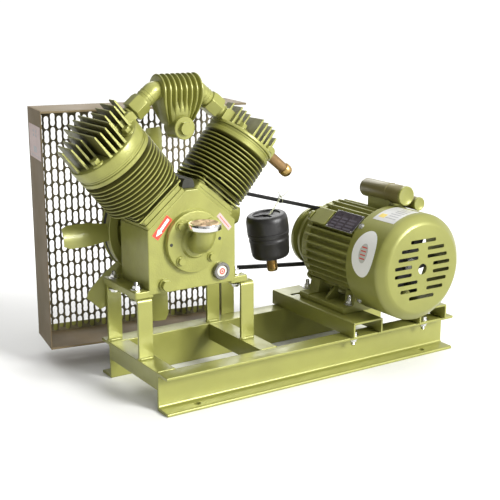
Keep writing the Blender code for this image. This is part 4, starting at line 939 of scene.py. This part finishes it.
def make_drive():
    place = on_y(CRANK.x, CRANK.z)
    bm = bmesh.new()
    rim = groove(BELT_R + 0.002, BELT_R, 0.221, 0.258)
    rim += [(0.088, 0.258), (0.0865, 0.256), (0.0865, 0.245), (0.033, 0.245), (0.03, 0.248),
            (0.03, 0.261), (0.029, 0.262), (0.0173, 0.262), (0.0173, 0.221), (0.029, 0.221),
            (0.03, 0.222), (0.03, 0.234), (0.033, 0.237), (0.0865, 0.237), (0.0865, 0.223),
            (0.088, 0.221)]
    put_lathe(bm, rim, place, 96)
    spoke = rounded([(0.028, -0.011), (0.088, -0.008), (0.088, 0.008), (0.028, 0.011)], 0.001)
    for k in range(6):
        put_prism(bm, spoke, 0.23, 0.252, at(CRANK.x, 0, CRANK.z) @ turn(60 * k, "Y"), "y")
    for k in range(8):
        put_blade(bm, math.radians(45.0 * k))
    piece("flywheel_with_blades", bm, "paint", cad="flywheel", body="crank", sharp=34)
    nut = bmesh.new()
    put_lathe(nut, disc(0.024, 0.2622, 0.264), place, 36)
    put_hex(nut, place, 0.015, 0.01, 0.264)
    piece("flywheel_nut", nut, "zinc", body="crank", sharp=28)

    # belt: the cut-edge V section on its two arcs, with straight runs between
    dx, dz = MOTOR.x - CRANK.x, MOTOR.z - CRANK.z
    slope = math.atan2(dz, dx)
    lean = math.asin((BELT_R - PULLEY_R) / math.hypot(dx, dz))
    quarter = 0.5 * math.pi
    section = rounded([(0.0, -0.0065), (0.0, 0.0065), (-0.008, 0.00375), (-0.008, -0.00375)], 0.0009, 3)
    spots, ends = [], []
    for radius, c, start, end, steps in (
            (BELT_R, CRANK, slope + quarter - lean, slope + 3 * quarter + lean, 72),
            (PULLEY_R, MOTOR, slope - quarter + lean, slope + quarter - lean, 56)):
        spots += [(radius, c, start + (end - start) * k / steps) for k in range(steps + 1)]
        ends.append(len(spots) - 1)

    def belt_ring(radius, c, a):
        return [Vector((c.x + (radius + r) * math.cos(a), BELT_Y + w, c.z + (radius + r) * math.sin(a)))
                for r, w in section]

    rings = []
    for i, spot in enumerate(spots):
        row = belt_ring(*spot)
        rings.append(row)
        if i in ends:
            after = belt_ring(*spots[(i + 1) % len(spots)])
            rings += [[p.lerp(q, k / 24) for p, q in zip(row, after)] for k in range(1, 24)]
    bm = bmesh.new()
    put_rings(bm, rings, closed=True)
    piece("v_belt_loop", bm, "rubber", cad="v_belt", sharp=40)

    place = on_y(MOTOR.x, MOTOR.z)
    rim = groove(PULLEY_R + 0.002, PULLEY_R, 0.23, 0.264)
    rim += [(0.053, 0.264), (0.052, 0.263), (0.05, 0.2545), (0.029, 0.2545), (0.028, 0.256),
            (0.028, 0.264), (0.0143, 0.264), (0.0143, 0.23), (0.05, 0.23)]
    turned("motor_v_pulley", rim, place, 80, "paint", cad="motor_pulley", body="motor_rotor", sharp=34)
    bm = bmesh.new()
    put_lathe(bm, [(0, 0.264), (0.0075, 0.264), (0.0075, 0.269), (0, 0.27)], place, 24)
    put_hex(bm, place, 0.01, 0.005, 0.2652)
    piece("motor_shaft_bolt", bm, "zinc", body="motor_rotor", sharp=28)


def put_blade(bm, angle):
    """One pitched fan blade, a little cupped, with its root weld."""
    half, root, tip = 0.023, 0.1035, 0.1995
    place = at(CRANK.x, 0.229, CRANK.z) @ Matrix.Rotation(angle, 4, "Y") @ turn(17.0, "X")
    rows, columns = 9, 9
    upper, lower = [], []
    for i in range(rows):
        t = i / (rows - 1)
        x = root + (tip - root) * t
        wide = half * (0.72 + 0.28 * min(1.0, t * 2.2))
        if t > 0.86:
            wide *= math.sqrt(max(0.0, 1.0 - ((t - 0.86) / 0.145) ** 2)) * 0.32 + 0.68
        for grid, lift in ((upper, 0.0011), (lower, -0.0011)):
            grid.append([bm.verts.new(place @ Vector((x, 0.0035 * (s * s - 1.0) + lift, s * wide)))
                         for s in (2.0 * j / (columns - 1) - 1.0 for j in range(columns))])
    for i in range(rows - 1):
        for j in range(columns - 1):
            for grid in (upper, lower):
                bm.faces.new((grid[i][j], grid[i][j + 1], grid[i + 1][j + 1], grid[i + 1][j]))
        for j in (0, columns - 1):
            bm.faces.new((upper[i][j], upper[i + 1][j], lower[i + 1][j], lower[i][j]))
    for i in (0, rows - 1):
        for j in range(columns - 1):
            bm.faces.new((upper[i][j], upper[i][j + 1], lower[i][j + 1], lower[i][j]))
    ends = [place @ Vector((0.1058, 0.0, s * half * 0.72)) for s in (-1.0, 1.0)]
    put_weld(bm, ends[0], ends[1], 0.0028, angle)


# ---- motor --------------------------------------------------------------------------------
def make_motor():
    place = on_y(MOTOR.x, MOTOR.z)
    x0, z0 = MOTOR.x, MOTOR.z
    centre = at(x0, 0, z0)
    # barrel with its cooling fins: eight points for each of the 36 fins, then the plain bore
    spots = [(2 * math.pi * (k + part) / 36, radius) for k in range(36) for part, radius in
             ((-0.34, 0.086), (-0.22, 0.088), (-0.13, 0.0968), (-0.06, 0.0978), (0.06, 0.0978),
              (0.13, 0.0968), (0.22, 0.088), (0.34, 0.086))]
    bore = [(a, 0.08) for a, r in spots]
    bm = bmesh.new()
    put_rings(bm, [[(x0 + r * math.cos(a), y, z0 + r * math.sin(a)) for a, r in line]
                   for line, y in ((spots, 0.012), (spots, 0.178), (bore, 0.178), (bore, 0.012))],
              closed=True)
    for y in (0.0125, 0.168):
        put_lathe(bm, [(0.084, y), (0.0945, y), (0.0945, y + 0.0095), (0.084, y + 0.0095)], place, 72)
    for sign in (-1.0, 1.0):
        foot = [(0.034, 0.1073), (0.106, 0.1073), (0.106, 0.1205), (0.08, 0.122), (0.074, 0.15),
                (0.034, 0.14)]
        pad = [(0.036, 0.1075), (0.105, 0.1075), (0.105, 0.1188), (0.036, 0.1188)]
        web = [(0.062, 0.118), (0.094, 0.118), (0.092, 0.123), (0.074, 0.14), (0.062, 0.144)]
        for shape, corner, y0, y1 in ((foot, [0, 0.002, 0.003, 0.004, 0.004, 0], 0.018, 0.05),
                                      (foot, [0, 0.002, 0.003, 0.004, 0.004, 0], 0.142, 0.174),
                                      (pad, 0.002, 0.0184, 0.1736), (web, 0, 0.0925, 0.0995)):
            put_prism(bm, rounded([(x0 + sign * x, z) for x, z in shape], corner), y0, y1, along="y")
    pad = centre @ turn(-41.5, "Y")
    put_prism(bm, rounded(oblong(-0.022, 0.022, 0.03, 0.116), 0.004), 0.084, 0.0985, pad)
    put_prism(bm, rounded(oblong(-0.022, 0.016, 0.122, 0.174), 0.004), 0.084, 0.1005, pad)
    # saddle that carries the two capacitors
    low, high = cad_box("start_capacitor")
    saddle = [(low.x + 0.006, 0.29), (high.x + 0.014, 0.29), (high.x + 0.006, low.z + 0.012),
              (low.x + 0.006, low.z + 0.012)]
    put_prism(bm, rounded(saddle, 0.003), 0.026, 0.094, along="y")
    piece("motor_frame_casting", bm, "cast_paint", cad="motor_frame", bevel=0.0006, sharp=50)

    for name, mat, shape, corner, low, high in (
            ("rating_plate_rim", "zinc", oblong(-0.0235, 0.0235, 0.029, 0.117), 0.0015, 0.0984, 0.099),
            ("rating_plate", "plate", oblong(-0.0224, 0.0224, 0.0301, 0.1159), 0.001, 0.0985, 0.0994)):
        extruded(name, rounded(shape, corner, 3), low, high, pad, "z", mat, bevel=0.0002)
    bm = bmesh.new()
    for x in (-0.0195 + 0.0078 * k for k in range(4)):
        for y in ((0.038, 0.062), (0.068, 0.086), (0.092, 0.109)):
            put_box(bm, (x, x + 0.004), y, (0.0992, 0.0996), pad)
    piece("rating_plate_blank_fields", bm, "grey")
    bm = bmesh.new()
    for x in (-0.0205, 0.0205):
        for y in (0.0325, 0.1135):
            put_lathe(bm, [(0, 0.099), (0.002, 0.099), (0.0017, 0.1001), (0, 0.1004)], pad @ at(x, y, 0), 14)
    piece("rating_plate_rivets", bm, "zinc")

    for name, node, profile in (
            ("fan_end_bracket", "fan_end_shield",
             [(0.016, -0.006), (0.03, -0.006), (0.04, 0.004), (0.09, 0.004), (0.092, 0.0055),
              (0.092, 0.0117), (0.016, 0.0117)]),
            ("drive_end_bracket", "drive_end_shield",
             [(0.016, 0.1783), (0.093, 0.1783), (0.0945, 0.1795), (0.0945, 0.185), (0.09, 0.1885),
              (0.08, 0.19), (0.056, 0.1955), (0.042, 0.1985), (0.038, 0.2), (0.016, 0.2)])):
        bm = bmesh.new()
        put_lathe(bm, profile, place, 72)
        if node == "drive_end_shield":
            rib = rounded(oblong(0.04, 0.086, -0.0025, 0.0025), 0.001)
            for k in range(8):
                put_prism(bm, rib, 0.188, 0.1965, centre @ turn(45 * k + 22.5, "Y"), "y")
            ear = rounded([(0.08, -0.014), (0.102, -0.01), (0.102, 0.01), (0.08, 0.014)], 0.005)
            for k in range(4):
                put_prism(bm, ear, 0.1783, 0.188, centre @ turn(90 * k + 45, "Y"), "y")
        piece(name, bm, "cast_paint", cad=node, bevel=0.0006, sharp=36)
    bolts = bmesh.new()
    for angle in (45, 135, 225, 315):
        a = math.radians(angle)
        put_bolt(bolts, on_circle(MOTOR, 0.0945, angle) @ at(0, 0, 0.188), 0.0055, 0.004)
        put_bolt(bolts, aimed((x0 + 0.1098 * math.cos(a), 0.002, z0 + 0.1098 * math.sin(a)),
                              (math.cos(a), 0, math.sin(a))), 0.0045, 0.003)
    piece("motor_bolts", bolts, "zinc", sharp=28)

    # fan cover: pressed steel, flat face, sloped shoulder, straight skirt
    bm = bmesh.new()
    front = -0.098
    outer = [(0.011, front), (0.0885, front), (0.0915, front + 0.0006), (0.0965, front + 0.004),
             (0.105, front + 0.012), (0.1088, front + 0.016), (0.11, front + 0.02), (0.11, 0.006),
             (0.1104, 0.007), (0.1104, 0.01)]
    inside = [(r - 0.0018, y + (0.0018 if y < front + 0.018 else 0.0)) for r, y in outer[1:]]
    put_lathe(bm, outer + inside[::-1] + [(0.011, front + 0.0018)], place, 120)
    slots = bmesh.new()
    pitch, tall = 0.0165, 0.0037
    for level, spans in ((3.5, [(-0.033, 0.033)]), (2.5, [(0.012, 0.056), (-0.056, -0.012)]),
                         (1.5, [(0.012, 0.064), (-0.064, -0.012)]),
                         (0.5, [(0.028, 0.072), (-0.072, -0.028)])):
        for z in (z0 - level * pitch, z0 + level * pitch):
            for a, b in spans:
                shape = rounded(oblong(x0 + a, x0 + b, z - tall, z + tall), 0.0036, 6)
                put_prism(slots, shape, front - 0.01, front + 0.012, along="y")
    # the fan cover takes the darker olive, a painted shade
    piece("fan_cover_pressing", bm, "cover_shade_paint", cad="fan_cover", sharp=40, cutters=[slots])

    # capacitors in pressed cans with a seam band
    for name in ("start_capacitor", "run_capacitor"):
        low, high = cad_box(name)
        r, y0, y1 = 0.5 * (high.z - low.z), low.y, high.y
        can = on_y(0.5 * (low.x + high.x), 0.5 * (low.z + high.z))
        seam = y0 + (y1 - y0) * 0.36
        turned(name + "_can",
               [(0, y0 + 0.0012), (r - 0.004, y0 + 0.0012), (r - 0.003, y0), (r - 0.0008, y0),
                (r, y0 + 0.0012), (r, seam - 0.0014), (r + 0.001, seam - 0.0006),
                (r + 0.001, seam + 0.0006), (r, seam + 0.0014), (r, y1 - 0.006),
                (r - 0.002, y1 - 0.002), (r - 0.007, y1), (0, y1)], can, 56, "can_paint", cad=name, sharp=38)
        turned(name + "_end_cap",
               [(0, y0 - 0.0002), (r - 0.0036, y0 - 0.0002), (r - 0.0026, y0 - 0.0009),
                (r - 0.0004, y0 - 0.0008), (r + 0.0006, y0 + 0.0004), (r + 0.0006, y0 + 0.005),
                (r - 0.0004, y0 + 0.0054), (r - 0.003, y0 + 0.002), (0, y0 + 0.001)],
               can, 56, "paint", sharp=38)

    # blank labels on the fan cover, curved with it, in short flats that never dip under the curve
    def put_label(bm, steps, low, edges):
        """edges(t) gives the angle in degrees and the two ends in y, for t from 0 to 1."""
        rings = []
        for k in range(steps + 1):
            angle, y0, y1 = edges(k / steps)
            a = math.radians(angle)
            rings.append([(x0 + r * math.cos(a), y, z0 + r * math.sin(a))
                          for r, y in ((low, y0), (low, y1), (low + 0.00025, y1), (low + 0.00025, y0))])
        put_rings(bm, rings)

    def band(a0, a1, y0, y1):
        return lambda t: (a0 + (a1 - a0) * t, y0, y1)

    def oval(angle, y, tall, wide):
        def edges(t):
            reach = max(0.0006, wide * math.sin(math.pi * t))
            return angle - tall * math.cos(math.pi * t), y - reach, y + reach
        return edges

    for name, mat, low, steps, shapes in (
            ("oval_label", "white", 0.1101, 28, [oval(162.0, -0.038, 25.5, 0.033)]),
            ("oval_label_inner_field", "pale", 0.1102, 28, [oval(162.0, -0.038, 10.5, 0.0125)]),
            ("oval_label_marks", "red", 0.1103, 2,
             [band(155.2 + 4.0 * k, 156.4 + 4.0 * k, -0.046, -0.03) for k in range(4)]),
            ("top_label", "pale", 0.1101, 12, [band(85.5, 121.5, -0.072, -0.008)]),
            ("top_label_patch", "yellow", 0.1102, 4, [band(110.0, 116.5, -0.032, -0.015)]),
            ("top_label_rules", "smoke", 0.1102, 2,
             [band(89.0 + 4.2 * k, 90.4 + 4.2 * k, -0.064, -0.038 if k % 2 else -0.034) for k in range(7)])):
        bm = bmesh.new()
        for edges in shapes:
            put_label(bm, steps, low, edges)
        piece(name, bm, mat, sharp=40)


# ---- filter -------------------------------------------------------------------------------
def make_filter():
    lean = math.radians(8.0)
    centre = Vector((0.37, 0.19, 0.252))
    place = aimed(centre, (-math.sin(lean), 0, math.cos(lean)))
    profile = [(0, -0.0478), (0.033, -0.0478), (0.0375, -0.0462), (0.04, -0.042), (0.0412, -0.034),
               (0.0425, -0.012), (0.0432, -0.0105), (0.0432, -0.006), (0.0424, -0.0045), (0.0424, -0.001),
               (0.044, 0.0005), (0.0448, 0.006), (0.0448, 0.0075), (0.0438, 0.0085), (0.0438, 0.01),
               (0.045, 0.0112), (0.0446, 0.034), (0.043, 0.041), (0.04, 0.0452), (0.038, 0.0462),
               (0.03, 0.0468), (0.028, 0.044), (0, 0.044)]
    bm = bmesh.new()
    put_lathe(bm, profile, place, 72)
    for k in range(3):
        put_box(bm, (0.004, 0.029), (-0.0025, 0.0025), (0.043, 0.0462), place @ turn(120 * k, "Z"))
    put_lathe(bm, [(0, 0.043), (0.008, 0.043), (0.008, 0.0472), (0, 0.0476)], place, 24)
    piece("intake_filter_body", bm, "black", cad="intake_filter", sharp=36)
    pattern = [(0, -0.0482), (0.0115, -0.0482)]
    for z in (-0.05 - 0.002 * k for k in range(12)):
        pattern += [(0.0115, z), (0.0109, z - 0.0007), (0.0115, z - 0.0014)]
    pattern += [(0.0115, -0.077), (0.0105, -0.08), (0, -0.08)]
    turned("filter_brass_stub", pattern, place, 32, "brass", cad="filter_stub", sharp=36)
    # a twist of thin wire that hangs the filter from the belt
    top = place @ Vector((0.012, 0.0, 0.047))
    hook = Vector((0.438, BELT_Y, 0.3175))
    bm = bmesh.new()
    for phase in (0.0, math.pi):
        path = []
        for k in range(40):
            t = k / 39
            p = top.lerp(hook, t)
            a = phase + 14 * t
            path.append(p + Vector((0.0016 * math.cos(a), 0.0012 * math.sin(a), -0.01 * t * (1 - t))))
        sweep(bm, path, 0.0007, 8)
    loop = [Vector((0.001 * math.sin(2 * a), 0.0086 * math.cos(a), -0.005 + 0.0078 * math.sin(a)))
            for a in (2 * math.pi * k / 24 for k in range(25))]
    sweep(bm, [hook + p for p in loop], 0.0009, 8)
    for end in ((0.016, -0.006, 0.012), (-0.012, -0.008, 0.014)):
        sweep(bm, [hook, hook + 0.5 * Vector(end) + Vector((0, -0.004, 0)), hook + Vector(end)], 0.0008, 8)
    piece("filter_wire_tie", bm, "wire", sharp=60)


# ---- CAD pieces that stay: better finishes --------------------------------------------------
def finish_cad_nodes():
    looks = {"crankshaft": "steel", "front_bearing": "steel", "rear_bearing": "steel",
             "fan_end_bearing": "steel", "drive_end_bearing": "steel", "rotor_and_shaft": "steel",
             "stator": "copper", "cooling_fan": "black", "left_piston": "aluminium",
             "right_piston": "aluminium", "left_rod_shank": "aluminium", "right_rod_shank": "aluminium",
             "left_rod_big_end": "aluminium", "right_rod_big_end": "aluminium"}
    for node, look in looks.items():
        slots = NODES[node].data.materials
        slots.clear()
        slots.append(MATS[look])
        NODES[node].data.shade_smooth()
        NODES[node].data.set_sharp_from_angle(angle=math.radians(35.0))


# ---- studio -------------------------------------------------------------------------------
def make_studio():
    bm = bmesh.new()
    reach = 450.0                        # so far out that the floor's edge is out of the picture
    put_box(bm, (-reach, reach), (-reach, reach), (-0.02, -GAP))
    floor = solid("floor", bm, Vector((0.0, 0.0, 0.0)))
    floor.data.materials.append(MATS["floor"])

    world = bpy.data.worlds.new("studio")
    bpy.context.scene.world = world
    world.use_nodes = True
    nodes, links = world.node_tree.nodes, world.node_tree.links
    sky = nodes["Background"]
    lean = put_node(nodes, "VectorMath")
    lean.operation = "DOT_PRODUCT"
    lean.inputs[1].default_value = Vector((0.75, -0.25, 0.6)).normalized()
    links.new(put_node(nodes, "TexCoord").outputs["Generated"], lean.inputs[0])
    fade = put_node(nodes, "MapRange", From_Min=-0.3, From_Max=0.62, To_Min=0.05, To_Max=1.0)
    fade.interpolation_type = "SMOOTHSTEP"
    links.new(lean.outputs["Value"], fade.inputs["Value"])
    links.new(fade.outputs["Result"], sky.inputs["Strength"])
    sky.inputs["Color"].default_value = (1.0, 1.0, 0.99, 1.0)

    def aim(name, data, direction):
        thing = bpy.data.objects.new(name, data)
        bpy.context.scene.collection.objects.link(thing)
        thing.rotation_euler = direction.to_track_quat("-Z", "Y").to_euler()
        return thing

    sun = bpy.data.lights.new("key_sun", "SUN")
    sun.energy = 4.5
    sun.angle = math.radians(22.0)
    aim("key_sun", sun, Vector((-1.0, 2.2, -1.15)))
    for name, spot, size, power in (("top_softbox", (0.1, 0.2, 2.4), 1.8, 8.0),
                                    ("fill_softbox", (-2.2, -1.4, 0.9), 1.4, 2.0),
                                    ("back_softbox", (1.2, 2.3, 1.6), 1.5, 20.0)):
        light = bpy.data.lights.new(name, "AREA")
        light.shape = "SQUARE"
        light.size = size
        light.energy = power
        aim(name, light, Vector((0.0, 0.0, 0.28)) - Vector(spot)).location = spot

    camera = bpy.data.cameras.new("camera")
    camera.sensor_width = 36.0
    camera.lens = 73.5
    camera.clip_start, camera.clip_end = 0.05, 1500.0
    eye = bpy.data.objects.new("camera", camera)
    bpy.context.scene.collection.objects.link(eye)
    eye.location = Vector((-0.8118, -1.5695, 0.742)) + SHIFT
    eye.rotation_euler = (math.radians(90.0 - 13.88), 0.0, math.radians(-32.82))
    bpy.context.scene.camera = eye
    bpy.context.scene.view_settings.view_transform = "Standard"
    bpy.context.scene.view_settings.look = "None"


make_base()
make_guard()
make_crankcase()
make_bank("left")
make_bank("right")
make_intercooler()
make_outlet()
make_drive()
make_motor()
make_filter()
finish_cad_nodes()
make_studio()
